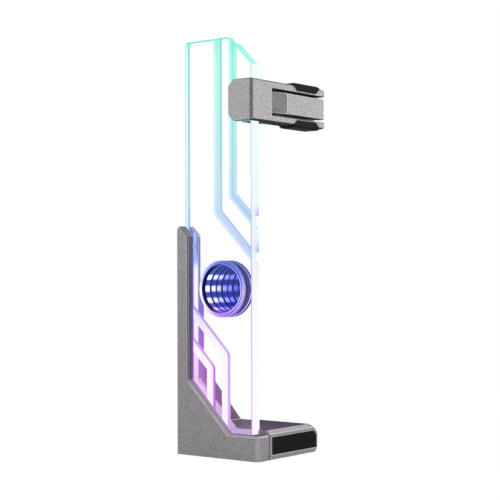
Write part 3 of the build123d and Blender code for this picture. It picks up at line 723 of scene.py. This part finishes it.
@dataclass(frozen=True)
class ClearAcrylic:
    """Cast acrylic, laser cut: clear polished faces, and edges with the light's colour painted on
    as emission.
    """

    edge_glow: float = 0.97
    hole_mm: float = 21.2  # radius within which the panel's edge is the ring's bore
    right_mm: Span = (-5.0, 20.0)  # X over which an edge passes for the right one
    front_mm: Span = (-27.4, -28.7)  # Y over which an edge deepens to the front
    back_mm: Span = (-23.8, -22.4)  # and to the back
    exit_mm: Span = (-26.0, -20.0)  # Y over which the painted shade above a groove's exit grows
    # colour of that painted shade
    exit_shade: str = "#6F8CE0"
    # colour of the light painted on the ring's bore
    bore: str = "#4A3F82"
    exits: Stops = (  # painted shade, dark blue, in the edge's painted light just above where a groove leaves the right edge
        (0.4900, "#000000"),
        (0.4910, "#FFFFFF"),
        (0.5200, "#000000"),
        (0.5750, "#000000"),
        (0.5760, "#FFFFFF"),
        (0.6050, "#000000"),
    )

    def make(self) -> bpy.types.Material:
        """Makes the acrylic: clear, with light painted in as emission where a face isn't the front
        or back.

        Returns:
            The material.
        """
        r = new_finish("clear_cast_acrylic")
        place, way = axes(r, "Object"), axes(r, "Normal")
        side = r.add("Math", [way[1]], ABSOLUTE)
        side = r.add("Math", [side, 0.5], {"operation": "LESS_THAN"})
        right = r.add("MapRange", [place[0], *metres(*self.right_mm), 0.0, 1.0])
        back = r.add("MapRange", [place[1], *metres(*self.back_mm), 1.0, 0.0])
        back = r.add("Math", [back, right], MAXIMUM)
        back = r.add("Math", [1.0, back], SUBTRACT)
        front = r.add("MapRange", [place[1], *metres(*self.front_mm), 0.0, 0.8])
        up = r.add("Math", [way[2]], ABSOLUTE)
        up = r.add("MapRange", [up, 0.3, 1.0, 0.0, 1.0])
        tall, deep, pale, line = panel_light(r)
        bleach = r.add("Math", [right, 0.5], MULTIPLY)
        colour = r.add("MixRGB", [bleach, pale, "#FFFFFF"])
        exits = r.add("ValToRGB", [tall], stops=self.exits)
        behind = r.add("MapRange", [place[1], *metres(*self.exit_mm), 0.0, 0.8])
        shade = exits
        for share in (behind, right):
            shade = r.add("Math", [shade, share], MULTIPLY)
        colour = r.add("MixRGB", [shade, colour, self.exit_shade])
        colour = r.add("MixRGB", [front, colour, line])
        colour = r.add("MixRGB", [back, colour, line])
        colour = r.add("MixRGB", [up, colour, deep])
        radius = from_ring(r, place)[2]
        hole = r.add("Math", [radius, self.hole_mm * MM], {"operation": "LESS_THAN"})
        colour = r.add("MixRGB", [hole, colour, self.bore])
        lit = r.add("Emission", [colour, 1.0])
        glass = {"Base Color": "#FFFFFF", "IOR": 1.49, "Transmission Weight": 1.0, "Roughness": 0.0}
        clear = r.add("BsdfPrincipled", glass)
        share = r.add("Math", [side, self.edge_glow], MULTIPLY)
        return r.finish(r.add("MixShader", [share, clear, lit]))


@dataclass(frozen=True)
class EtchedGlow:
    """Laser-etched acrylic lit from inside: frosted, and deeper along one side of a groove."""

    clear: float = 0.05  # share of it that stays clear
    pale_at: Span = (0.25, 0.45)  # heights, as shares of the panel's top, where paleness grows
    across: Stops = (  # paleness across a groove
        (0.00, "#404040"),
        (0.15, "#909090"),
        (0.35, "#C8C8C8"),
        (0.55, "#F0F0F0"),
        (0.74, "#FFFFFF"),
        (0.80, "#B0B0B0"),
        (0.88, "#303030"),
    )
    line: Stops = (  # where its darker lines are
        (0.00, "#505050"),
        (0.03, "#000000"),
        (0.86, "#000000"),
        (0.93, "#FFFFFF"),
        (1.00, "#D0D0D0"),
    )

    def make(self) -> bpy.types.Material:
        """Makes the glow: the height's colours, mixed by the place across the groove.

        Returns:
            The material.
        """
        r = new_finish("etched_glow")
        tall, deep, pale, edge = panel_light(r)
        u, depth, _ = axes(r, "UV")
        share = r.add("ValToRGB", [u], stops=self.across)
        share = r.add("Math", [share, depth], MULTIPLY)
        bleach = r.add("MapRange", [tall, *self.pale_at, 0.1, 1.0])
        share = r.add("Math", [share, bleach], MULTIPLY)
        colour = r.add("MixRGB", [share, pale, deep])
        line = r.add("ValToRGB", [u], stops=self.line)
        colour = r.add("MixRGB", [line, colour, edge])
        glow = r.add("Emission", [colour, 1.0])
        return r.finish(r.add("MixShader", [self.clear, glow, r.add("BsdfTransparent")]))


@dataclass(frozen=True)
class MirrorCoat:
    """Vapour-coated mirror glass: each reflection is darker and bluer than the one before."""

    tint: str = "#C2C8EE"

    def make(self) -> bpy.types.Material:
        """Makes the mirror.

        Returns:
            The material.
        """
        r = new_finish("coated_mirror")
        sockets = {"Metallic": 1.0, "Roughness": 0.02, "Base Color": self.tint}
        return r.finish(r.add("BsdfPrincipled", sockets))


@dataclass(frozen=True)
class HalfMirror:
    """Half-silvered film: clear from outside, and a mirror for the light behind it."""

    shine: Span = (0.03, 0.97)  # share that it reflects on its outside and on its inside
    clear_tint: str = "#F0F1FF"
    shine_tint: str = "#D6DBF6"

    def make(self) -> bpy.types.Material:
        """Makes the film: clear mixed with mirror, by the side that is seen.

        Returns:
            The material.
        """
        r = new_finish("half_silvered_film")
        inside = r.add("NewGeometry").outputs["Backfacing"]
        share = r.add("MapRange", [inside, 0.0, 1.0, *self.shine])
        clear = r.add("BsdfTransparent", [self.clear_tint])
        shine = r.add("BsdfAnisotropic", {"Color": self.shine_tint, "Roughness": 0.0})
        return r.finish(r.add("MixShader", [share, clear, shine]))


@dataclass(frozen=True)
class TunnelLight:
    """Milky light guide round the tunnel, with a bright spot at each light.

    The brightness follows the cosine of the angle times the number of lights. It is more than
    white, so that the first reflections are as white as the light itself.
    """

    lights: int = 12
    glow: float = 2.2
    around: Stops = ((0.0, "#2C367E"), (0.3, "#4C5ABE"), (0.7, "#D8DCFF"), (1.0, "#FFFFFF"))
    wave_at: Span = (-0.6, 0.9)  # the cosine's values from the first colour to the last
    low: str = "#6A48B4"  # colour at the ring's bottom
    low_mm: Span = (-17.0, -8.0)  # heights from the axis where it passes to the spots
    high: str = "#36427E"  # colour at the ring's top
    high_mm: Span = (8.5, 11.0)  # heights where the spots pass to it
    dark: str = "#0E143C"  # colour before and behind the guide
    first_mm: Span = (-30.7, -30.1)  # Y over which the guide begins to shine
    last_mm: Span = (-26.5, -25.9)  # and ends

    def make(self) -> bpy.types.Material:
        """Makes the guide's light, by the angle round the ring and by depth.

        Returns:
            The material.
        """
        r = new_finish("milky_light_guide")
        place = axes(r, "Object")
        x, z, _ = from_ring(r, place)
        angle = r.add("Math", [z, x], {"operation": "ARCTAN2"})
        wave = r.add("Math", [angle, float(self.lights)], MULTIPLY)
        wave = r.add("Math", [wave], {"operation": "COSINE"})
        spot = r.add("MapRange", [wave, *self.wave_at, 0.0, 1.0])
        colour = r.add("ValToRGB", [spot], stops=self.around)
        low = r.add("MapRange", [z, *metres(*self.low_mm), 1.0, 0.0])
        high = r.add("MapRange", [z, *metres(*self.high_mm), 0.0, 1.0])
        colour = r.add("MixRGB", [low, colour, self.low])
        colour = r.add("MixRGB", [high, colour, self.high])
        first = r.add("MapRange", [place[1], *metres(*self.first_mm), 0.0, 1.0])
        last = r.add("MapRange", [place[1], *metres(*self.last_mm), 1.0, 0.0])
        lit = r.add("Math", [first, last], MULTIPLY)
        colour = r.add("MixRGB", [lit, self.dark, colour])
        return r.finish(r.add("Emission", [colour, self.glow]))


class Finishes:
    """Every finish of the bracket, made once."""

    def __init__(self) -> None:
        """Makes the materials."""
        # the panel's light painted on as emission, and painted shade and light by the way faces
        # look
        self.painted_glow_and_shade_coat = SpeckledPaint(
            "speckled_coat_with_painted_light_and_shade", glow=1.05, seam=True, corner=0.38, low_corner_light=1.5
        ).make()
        # a lighter copy of the coat as painted light, with the panel's light painted on and painted
        # shade on corner and underside
        self.arm_paint = SpeckledPaint(
            "lighter_speckled_coat_with_painted_light_on_the_arm",
            "#A09DA1",
            "#ECE9ED",
            flake_mm=0.62,
            glow=0.5,
            near_reach_mm=12.0,
            far_reach_mm=12.0,
            edge_share=0.0,
            under=0.6,
            shaded=False,
            corner=0.42,
        ).make()
        # painted highlights on the housings' eased edges, with painted shade in the seam
        self.edge_highlight_and_seam_shade_coat = SpeckledPaint("coat_with_painted_edge_highlights_and_seam_shade", "#DAD7DB", "#FAF8FB", seam=True).make()
        # the arm's lighter coat as painted light, with painted shade on its leaning edges
        self.arm_edge_light_and_shade_coat = SpeckledPaint(
            "lighter_coat_with_painted_shade_on_the_arms_edges", "#A09DA1", "#ECE9ED", rim=0.03
        ).make()
        # painted highlights on the lever's eased edges
        self.lever_highlight_coat = SpeckledPaint("coat_with_painted_highlights_on_the_levers_edges", "#F6F4F7", "#FFFFFF").make()
        self.rubber = MouldedPolymer().make()
        self.plastic = MouldedPolymer("moulded_black_plastic", "#121213", "#1D1D1F", 0.45).make()
        self.board = MouldedPolymer("solder_mask", "#0B1F14", "#123322", 0.4).make()
        self.steel = TurnedMetal().make()
        self.ring_metal = RingCoat().make()
        self.acrylic = ClearAcrylic().make()
        self.etched = EtchedGlow().make()
        self.mirror = MirrorCoat().make()
        self.film = HalfMirror().make()
        self.guide = TunnelLight().make()


def mesh_piece(
    name: str,
    points: np.ndarray,
    faces: np.ndarray,
    finish: bpy.types.Material,
    across: np.ndarray | None = None,
) -> bpy.types.Object:
    """Makes a finished piece from points and faces.

    Args:
        name: The piece's name.
        points: Its corners in millimetres, above the floor.
        faces: Corner numbers, four to a face.
        finish: Its material.
        across: Two shares from 0 to 1 at each corner, kept as the piece's own map.

    Returns:
        The new object, at the origin.
    """
    mesh = bpy.data.meshes.new(name)
    mesh.from_pydata((points * MM).tolist(), [], faces.tolist())
    mesh.update()
    mesh.materials.append(finish)
    if across is not None:
        corners = np.empty(len(mesh.loops), dtype=np.int32)
        mesh.loops.foreach_get("vertex_index", corners)
        flat = across[corners].astype(np.float32).ravel()
        mesh.uv_layers.new(name="across").data.foreach_set("uv", flat)
    piece = bpy.data.objects.new(name, mesh)
    bpy.context.scene.collection.objects.link(piece)
    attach(piece, STAND)
    LOG.info("made %s with %d faces", name, len(mesh.polygons))
    return piece


def grid_faces(rows: int, columns: int) -> np.ndarray:
    """Works out the quads between closed rows of points.

    Args:
        rows: How many rows there are.
        columns: How many points a row has.

    Returns:
        Corner numbers of each quad.
    """
    i, j = np.meshgrid(np.arange(rows - 1), np.arange(columns), indexing="ij")
    k = (j + 1) % columns
    quads = [i * columns + j, i * columns + k, (i + 1) * columns + k, (i + 1) * columns + j]
    return np.stack(quads, axis=-1).reshape(-1, 4)


def rounded_path(corners: np.ndarray, radius: float, steps: int = 12) -> np.ndarray:
    """Works out points along a bent line whose corners are arcs.

    Each corner is cut back by radius * tan(turn / 2) on both sides, and the arc between is
    sampled at even angles.

    Args:
        corners: The line's corners in the plane.
        radius: Radius of each arc.
        steps: Points on each arc.

    Returns:
        The points, in order.
    """
    runs = [corners[:1]]
    for before, at, after in zip(corners[:-2], corners[1:-1], corners[2:]):
        a = (before - at) / np.linalg.norm(before - at)
        b = (after - at) / np.linalg.norm(after - at)
        turn = math.pi - math.acos(float(np.clip(a @ b, -1, 1)))
        cut = radius * math.tan(turn / 2)
        centre = at + (a + b) / np.linalg.norm(a + b) * radius / math.cos(turn / 2)
        start = at + a * cut - centre
        end = at + b * cut - centre
        t = np.linspace(0.0, 1.0, steps)[:, None]
        arc = (np.sin((1 - t) * turn) * start + np.sin(t * turn) * end) / math.sin(turn)
        runs.append(centre + arc)
    runs.append(corners[-1:])
    return np.vstack(runs)


@dataclass(frozen=True)
class Groove:
    """Groove that runs upright and at 45 degrees: its place, its bend and its colour's depth."""

    x: float
    bend: float  # height of the bend, without the lift
    depth: float  # from 0 to 1


@dataclass
class LightPanel:
    """Clear panel with four etched grooves in its back. Sizes in mm."""

    finishes: Finishes
    left: float = -32.5
    right: float = 26.0
    bottom: float = 7.4 + LIFT
    top: float = PANEL_TOP + LIFT
    back: float = PANEL_MIDDLE + PANEL_HALF
    cut: float = 20.0  # the sloped corner's length each way
    groove_width: float = 6.0
    groove_depth: float = 3.5
    groove_radius: float = 4.0
    skin: float = 0.12  # the linings' thickness
    gap: float = 0.04  # their clearance in the grooves
    upper: Sequence[Groove] = (Groove(-6.2, 169.4, 0.62), Groove(7.3, 180.6, 1.0))
    lower: Sequence[Groove] = (Groove(0.7, 70.4, 0.8), Groove(-12.7, 61.0, 0.4))

    def paths(self) -> list[tuple[np.ndarray, float]]:
        """Lists the centre lines: the upper grooves end at the right edge, the lower at the left.

        Returns:
            Each line's corners in X and Z, and how deep its colour is.
        """
        found = []
        for g in self.upper:
            z = g.bend + LIFT
            end = (self.right, z - (self.right - g.x))
            found.append((np.array([(g.x, self.top), (g.x, z), end]), g.depth))
        for g in self.lower:
            z = g.bend + LIFT
            start = (self.left, z + (g.x - self.left))
            found.append((np.array([start, (g.x, z), (g.x, self.bottom)]), g.depth))
        return found

    def profile(self) -> np.ndarray:
        """Works out a lining's U-shaped profile: the groove's less the gap, then the skin inside.

        Returns:
            Its points, as the distance from the centre line and the place along Y.
        """
        half = self.groove_width / 2 - self.gap
        floor = self.back - self.groove_depth + self.gap
        mouth = self.back - self.gap
        inner, inner_floor = half - self.skin, floor + self.skin
        outside = [(half, mouth), (half, floor), (-half, floor), (-half, mouth)]
        inside = [(-inner, mouth), (-inner, inner_floor), (inner, inner_floor), (inner, mouth)]
        return np.array(outside + inside)

    def cut_ends(self, flat: np.ndarray, path: np.ndarray, step: np.ndarray) -> None:
        """Cuts both ends square to the panel's edge, and at the sloped corner to its slope.

        The end's points slide along the line until they reach that edge.

        Args:
            flat: The lining's points in X and Z, which are changed.
            path: The centre line's corners.
            step: The centre line's direction at each of its points.
        """
        for end, way in ((0, step[0]), (-1, step[-1])):
            axis = 1 if path[end][1] in (self.top, self.bottom) else 0
            middle = (self.bottom + self.top) / 2 if axis else (self.left + self.right) / 2
            inward = self.gap if path[end][axis] < middle else -self.gap
            slide = (path[end][axis] + inward - flat[end][:, axis]) / way[axis]
            flat[end] += way * slide[:, None]
        if path[0][1] == self.top:
            slope = self.top + self.right - self.cut - flat[0][:, 0] - 2 * self.gap
            flat[0][:, 1] = np.minimum(flat[0][:, 1], slope)

    def groove(self, name: str, path: np.ndarray, depth: float) -> bpy.types.Object:
        """Makes a frosted lining: the profile carried along the groove's centre line.

        Args:
            name: The piece's name.
            path: The centre line's corners.
            depth: How deep its colour is, from 0 to 1.

        Returns:
            The lining.
        """
        line = rounded_path(path, self.groove_radius)
        step = np.gradient(line, axis=0)
        step /= np.linalg.norm(step, axis=1)[:, None]
        normal = np.stack([-step[:, 1], step[:, 0]], axis=1)
        profile = self.profile()
        flat = line[:, None, :] + profile[None, :, :1] * normal[:, None, :]
        self.cut_ends(flat, path, step)
        away = np.broadcast_to(profile[None, :, 1], flat.shape[:2])
        points = np.stack([flat[..., 0], away, flat[..., 1]], axis=-1).reshape(-1, 3)
        rows, columns = away.shape
        ends = np.array([(7, 6, 1, 0), (6, 5, 2, 1), (5, 4, 3, 2)])
        sides = grid_faces(rows, columns)
        faces = np.vstack([sides, ends[:, ::-1], ends + (rows - 1) * columns])
        across = np.broadcast_to(0.5 + profile[:, 0] / (2 * profile[0, 0]), away.shape).ravel()
        across = np.stack([across, np.full(across.size, depth)], axis=1)
        glow = self.finishes.etched
        return mesh_piece(name, points, faces, glow, across)

    def build(self) -> None:
        """Makes the groove linings."""
        for i, (path, depth) in enumerate(self.paths(), 1):
            self.groove(f"groove_lining_{i}", path, depth)


@dataclass
class RingLight:
    """Turned ring in the panel, with a mirror tunnel behind its half mirror. Sizes in mm."""

    finishes: Finishes
    film_radius: float = 17.2
    film_middle: float = 0.02  # radius of the film's smallest ring of points
    film_y: float = -31.25
    film_grid: tuple[int, int] = (6, 96)  # rings of points, and points in each
    teeth: int = 150
    tooth_points: int = 4
    tooth_depth: float = 0.05
    profile: tuple[tuple[float, float, float], ...] = (
        # radius, place along Y, how deep the knurl is cut
        (19.58, -28.92, 0.0),
        (19.58, -29.2, 1.0),
        (19.58, -31.3, 1.0),
        (19.35, -31.42, 0.0),
        (19.35, -31.5, 0.0),
        (19.58, -31.62, 1.0),
        (19.58, -32.35, 1.0),
        (19.35, -32.45, 0.0),
        (19.35, -32.6, 0.0),
        (19.55, -32.75, 0.0),
        (19.5, -33.2, 0.0),
        (19.3, -33.38, 0.0),
        (18.75, -33.38, 0.0),
        (18.6, -33.2, 0.0),
        (18.45, -33.2, 0.0),
        (18.3, -33.38, 0.0),
        (17.5, -33.38, 0.0),
        (17.25, -33.25, 0.0),
        (16.35, -32.4, 0.0),
        (16.2, -32.25, 0.0),
        (16.2, -32.0, 0.0),
        (16.5, -31.7, 0.0),
        (17.28, -31.3, 0.0),
        (17.28, -29.0, 0.0),
    )

    def turned(self, rows: np.ndarray, columns: int, swing: np.ndarray) -> np.ndarray:
        """Works out the points of a turned surface round the ring's axis.

        Args:
            rows: Radius and place along Y of each point of the profile.
            columns: Points round the axis.
            swing: What each point adds to its radius, a row for each point of the profile.

        Returns:
            The points, a row of columns for each point of the profile.
        """
        turn = np.linspace(0, 2 * math.pi, columns + 1)[:-1]
        radius = rows[:, :1] + swing
        x = RING_X + radius * np.cos(turn)[None, :]
        z = RING_Z + radius * np.sin(turn)[None, :]
        y = np.broadcast_to(rows[:, 1:2], x.shape)
        return np.stack([x, y, z], axis=-1).reshape(-1, 3)

    def bezel(self) -> bpy.types.Object:
        """Makes the ring's front: a turned profile, with a knurl cut as a cosine of the angle.

        Returns:
            The bezel.
        """
        shape = np.array(self.profile)
        columns = self.teeth * self.tooth_points
        turn = np.linspace(0, 2 * math.pi, columns + 1)[:-1]
        swing = -shape[:, 2:] * self.tooth_depth * (1 + np.cos(turn * self.teeth))[None, :]
        points = self.turned(shape[:, :2], columns, swing)
        faces = grid_faces(len(shape) + 1, columns) % len(points)
        coat = self.finishes.ring_metal
        return mesh_piece("turned_bezel", points, faces, coat)

    def film(self) -> bpy.types.Object:
        """Makes the half mirror's film: rings of points whose radius grows evenly.

        Returns:
            The film.
        """
        rings, columns = self.film_grid
        radii = np.linspace(self.film_middle, self.film_radius, rings)
        rows = np.stack([radii, np.full(rings, self.film_y)], axis=1)
        points = self.turned(rows, columns, np.zeros((rings, 1)))
        faces = grid_faces(rings, columns)[:, ::-1]
        coat = self.finishes.film
        return mesh_piece("half_mirror_film", points, faces, coat)

    def build(self) -> None:
        """Makes the bezel and the film, in the place of their plain solids."""
        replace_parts(self.bezel(), "ring_front_bezel")
        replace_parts(self.film(), "ring_half_mirror")


@dataclass
class Housings:
    """Every CAD node with the finish that it gets, and the nodes whose edges are eased."""

    finishes: Finishes
    segments: int = 3  # faces across an eased edge
    weld_mm: float = 0.01  # corners nearer than this are one corner
    eases: Mapping[str, tuple[float, float]] = field(
        default_factory=lambda: {
            # width in mm, and the least turn of an edge in degrees
            "front_housing": (0.2, 32.0),
            "side_foot": (0.35, 32.0),
            "support_arm": (0.45, 32.0),
            "lever": (0.5, 12.0),
            "arm_top_cover": (0.3, 32.0),
            "arm_bottom_cover": (0.3, 32.0),
            "end_pad": (0.3, 32.0),
        }
    )

    def finish_for(self, node: str) -> bpy.types.Material:
        """Picks the finish of a CAD node.

        Args:
            node: Its name.

        Returns:
            Its material, which is steel for a node that isn't in the list.
        """
        f = self.finishes
        groups = (
            (("front_housing", "side_foot"), f.painted_glow_and_shade_coat),
            (("support_arm", "lever"), f.arm_paint),
            (("end_pad", "base_pad", "jaw_liner", "clamp_shoe_pad"), f.rubber),
            (("arm_top_cover", "arm_bottom_cover"), f.rubber),
            (("light_panel",), f.acrylic),
            (("ring_front_bezel", "ring_rear_cap"), f.ring_metal),
            (("ring_back_mirror", "ring_half_mirror"), f.mirror),
            (("ring_light_guide",), f.guide),
            (("column_light_strip", "base_light_strip"), f.board),
            (("control_board", "ring_light_board"), f.board),
            (("bottom_plate", "light_socket", "clamp_shoe"), f.plastic),
            (("lever_washer_low", "lever_washer_high"), f.plastic),
        )
        for names, finish in groups:
            if node in names:
                return finish
        return f.steel

    def edge_finish(self, node: str) -> bpy.types.Material | None:
        """Picks the finish of a coated node's eased edges: painted highlights, and on the arm
        painted shade.

        Args:
            node: The node's name.

        Returns:
            The edges' material, or None where they look like the rest.
        """
        f = self.finishes
        edges = {
            "front_housing": f.edge_highlight_and_seam_shade_coat,
            "side_foot": f.edge_highlight_and_seam_shade_coat,
            "support_arm": f.arm_edge_light_and_shade_coat,
            "lever": f.lever_highlight_coat,
        }
        return edges.get(node)

    def ease(self, node: bpy.types.Object, width: float, turn: float) -> None:
        """Rounds a node's sharp edges; on the housings and lever they get painted highlights, on
        the arm painted shade.

        Args:
            node: The CAD node.
            width: Width of the rounding in mm.
            turn: The least turn in degrees of an edge that is rounded.
        """
        weld = node.modifiers.new("joined", "WELD")
        weld.merge_threshold = self.weld_mm * MM
        bevel = node.modifiers.new("eased", "BEVEL")
        bevel.width = width * MM
        bevel.segments = self.segments
        bevel.limit_method = "ANGLE"
        bevel.angle_limit = math.radians(turn)
        bevel.use_clamp_overlap = False
        edges = self.edge_finish(node.name)
        if edges:
            node.data.materials.append(edges)
            bevel.material = 1

    def build(self, nodes: Mapping[str, bpy.types.Object]) -> None:
        """Gives each CAD node its finish, and some of them their eased edges.

        Args:
            nodes: The CAD nodes by name.
        """
        for name, node in nodes.items():
            node.data.materials.clear()
            node.data.materials.append(self.finish_for(name))
            if name in self.eases:
                self.ease(node, *self.eases[name])
            LOG.info("dressed %s", name)


@dataclass(frozen=True)
class Softbox:
    """Square soft light, in metres and watts."""

    name: str
    at: Vector
    to: Vector
    size: float
    watts: float

    def build(self) -> None:
        """Adds the light, which isn't seen through the clear panel."""
        data = bpy.data.lights.new(self.name, "AREA")
        data.size = self.size
        data.energy = self.watts
        lamp = bpy.data.objects.new(self.name, data)
        lamp.location = self.at
        lamp.visible_transmission = False
        lamp.rotation_euler = (self.to - self.at).to_track_quat("-Z", "Y").to_euler()
        bpy.context.scene.collection.objects.link(lamp)


@dataclass
class Studio:
    """White floor and surroundings, soft light and the photograph's camera."""

    eye: Vector = Vector((582.74, -747.22, 130.37 + LIFT))  # the camera's place, in mm
    right: Vector = Vector((0.78994375, 0.61317238, -0.00291459))
    up: Vector = Vector((0.00755689, -0.00498236, 0.99995903))
    sensor: float = 36.0
    focal_pixels: float = 1336.8
    frame_pixels: float = 500.0
    centre_pixels: tuple[float, float] = (250.0, 256.956)  # where the camera looks in the picture
    dim_way: tuple[float, float, float] = (0.61, -0.79, 0.0)  # toward the side that one stands on
    dim_from: Span = (0.2, 0.95)  # how far toward it the light begins to fade, and is dimmest
    dim_to: Span = (0.55, 0.12)
    floor_half: float = 4.0  # half of the floor's side, in metres
    floor_drop: float = 0.0002  # how far it lies below the feet, in metres
    floor_shine: float = 1.04
    floor_white: float = 0.97  # share of the floor that is plain white to the eye
    boxes: tuple[Softbox, ...] = (
        Softbox("left_softbox", Vector((-0.6, -0.8, 1.1)), Vector((0.0, 0.0, 0.15)), 0.6, 5.0),
        Softbox("right_softbox", Vector((0.75, 0.75, 0.5)), Vector((0.0, 0.0, 0.2)), 0.6, 3.6),
    )

    def camera(self) -> None:
        """Sets the camera where the photograph was taken from."""
        half = self.frame_pixels / 2
        data = bpy.data.cameras.new("camera")
        data.sensor_width = self.sensor
        data.lens = self.sensor * self.focal_pixels / self.frame_pixels
        data.shift_x = (half - self.centre_pixels[0]) / self.frame_pixels
        data.shift_y = (self.centre_pixels[1] - half) / self.frame_pixels
        data.clip_start, data.clip_end = 0.01, 50.0
        camera = bpy.data.objects.new("camera", data)
        bpy.context.scene.collection.objects.link(camera)
        axes = (self.right, self.up, self.right.cross(self.up))
        turn = Matrix(axes).transposed().to_4x4()
        camera.matrix_world = Matrix.Translation(self.eye * MM) @ turn
        bpy.context.scene.camera = camera

    def world(self) -> None:
        """Plain white behind things, and softer light, dim on the side that one stands on."""
        world = bpy.data.worlds.new("studio")
        bpy.context.scene.world = world
        r = Recipe(world)
        way = r.add("TexCoord").outputs["Generated"]
        toward = r.add("VectorMath", [way, self.dim_way], {"operation": "DOT_PRODUCT"})
        level = r.add("MapRange", [toward.outputs["Value"], *self.dim_from, *self.dim_to])
        soft = r.add("Background", ["#FFFFFF", level])
        white = r.add("Background", ["#FFFFFF", 1.0])
        seen, path = seen_rays(r)
        mirrored = [seen, path.outputs["Is Glossy Ray"]]
        seen = r.add("Math", mirrored, MAXIMUM)
        r.finish(r.add("MixShader", [seen, soft, white]))

    def floor(self) -> None:
        """Lays a wide white floor that keeps a faint shadow."""
        u = np.linspace(-self.floor_half, self.floor_half, 2)
        x, y = np.meshgrid(u, u)
        points = np.stack([x, y, np.full_like(x, -self.floor_drop)], axis=-1).reshape(-1, 3)
        mesh = bpy.data.meshes.new("floor")
        mesh.from_pydata(points.tolist(), [], [(0, 1, 3, 2)])
        r = new_finish("white_floor")
        paper = r.add("BsdfDiffuse", ["#F4F4F4"])
        shine = r.add("Emission", ["#FFFFFF", self.floor_shine])
        seen = r.add("Math", [seen_rays(r)[0], self.floor_white], MULTIPLY)
        mesh.materials.append(r.finish(r.add("MixShader", [seen, paper, shine])))
        floor = bpy.data.objects.new("floor", mesh)
        bpy.context.scene.collection.objects.link(floor)

    def build(self) -> None:
        """Sets up the whole studio."""
        self.camera()
        self.world()
        self.floor()
        for box in self.boxes:
            box.build()


def main() -> None:
    """Loads the frame, dresses it and sets up the studio."""
    logging.basicConfig(level=logging.INFO, format="%(message)s")
    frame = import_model()
    scene = bpy.context.scene
    scene.view_settings.view_transform = "Standard"
    scene.cycles.max_bounces = LIGHT_BOUNCES
    scene.cycles.transparent_max_bounces = LIGHT_BOUNCES
    scene.cycles.glossy_bounces = GLOSSY_BOUNCES
    scene.cycles.transmission_bounces = CLEAR_BOUNCES
    finishes = Finishes()
    Housings(finishes).build(frame["nodes"])
    for part in (LightPanel(finishes), RingLight(finishes), Studio()):
        part.build()
        LOG.info("built %s", type(part).__name__)


if __name__ == "__main__":
    main()
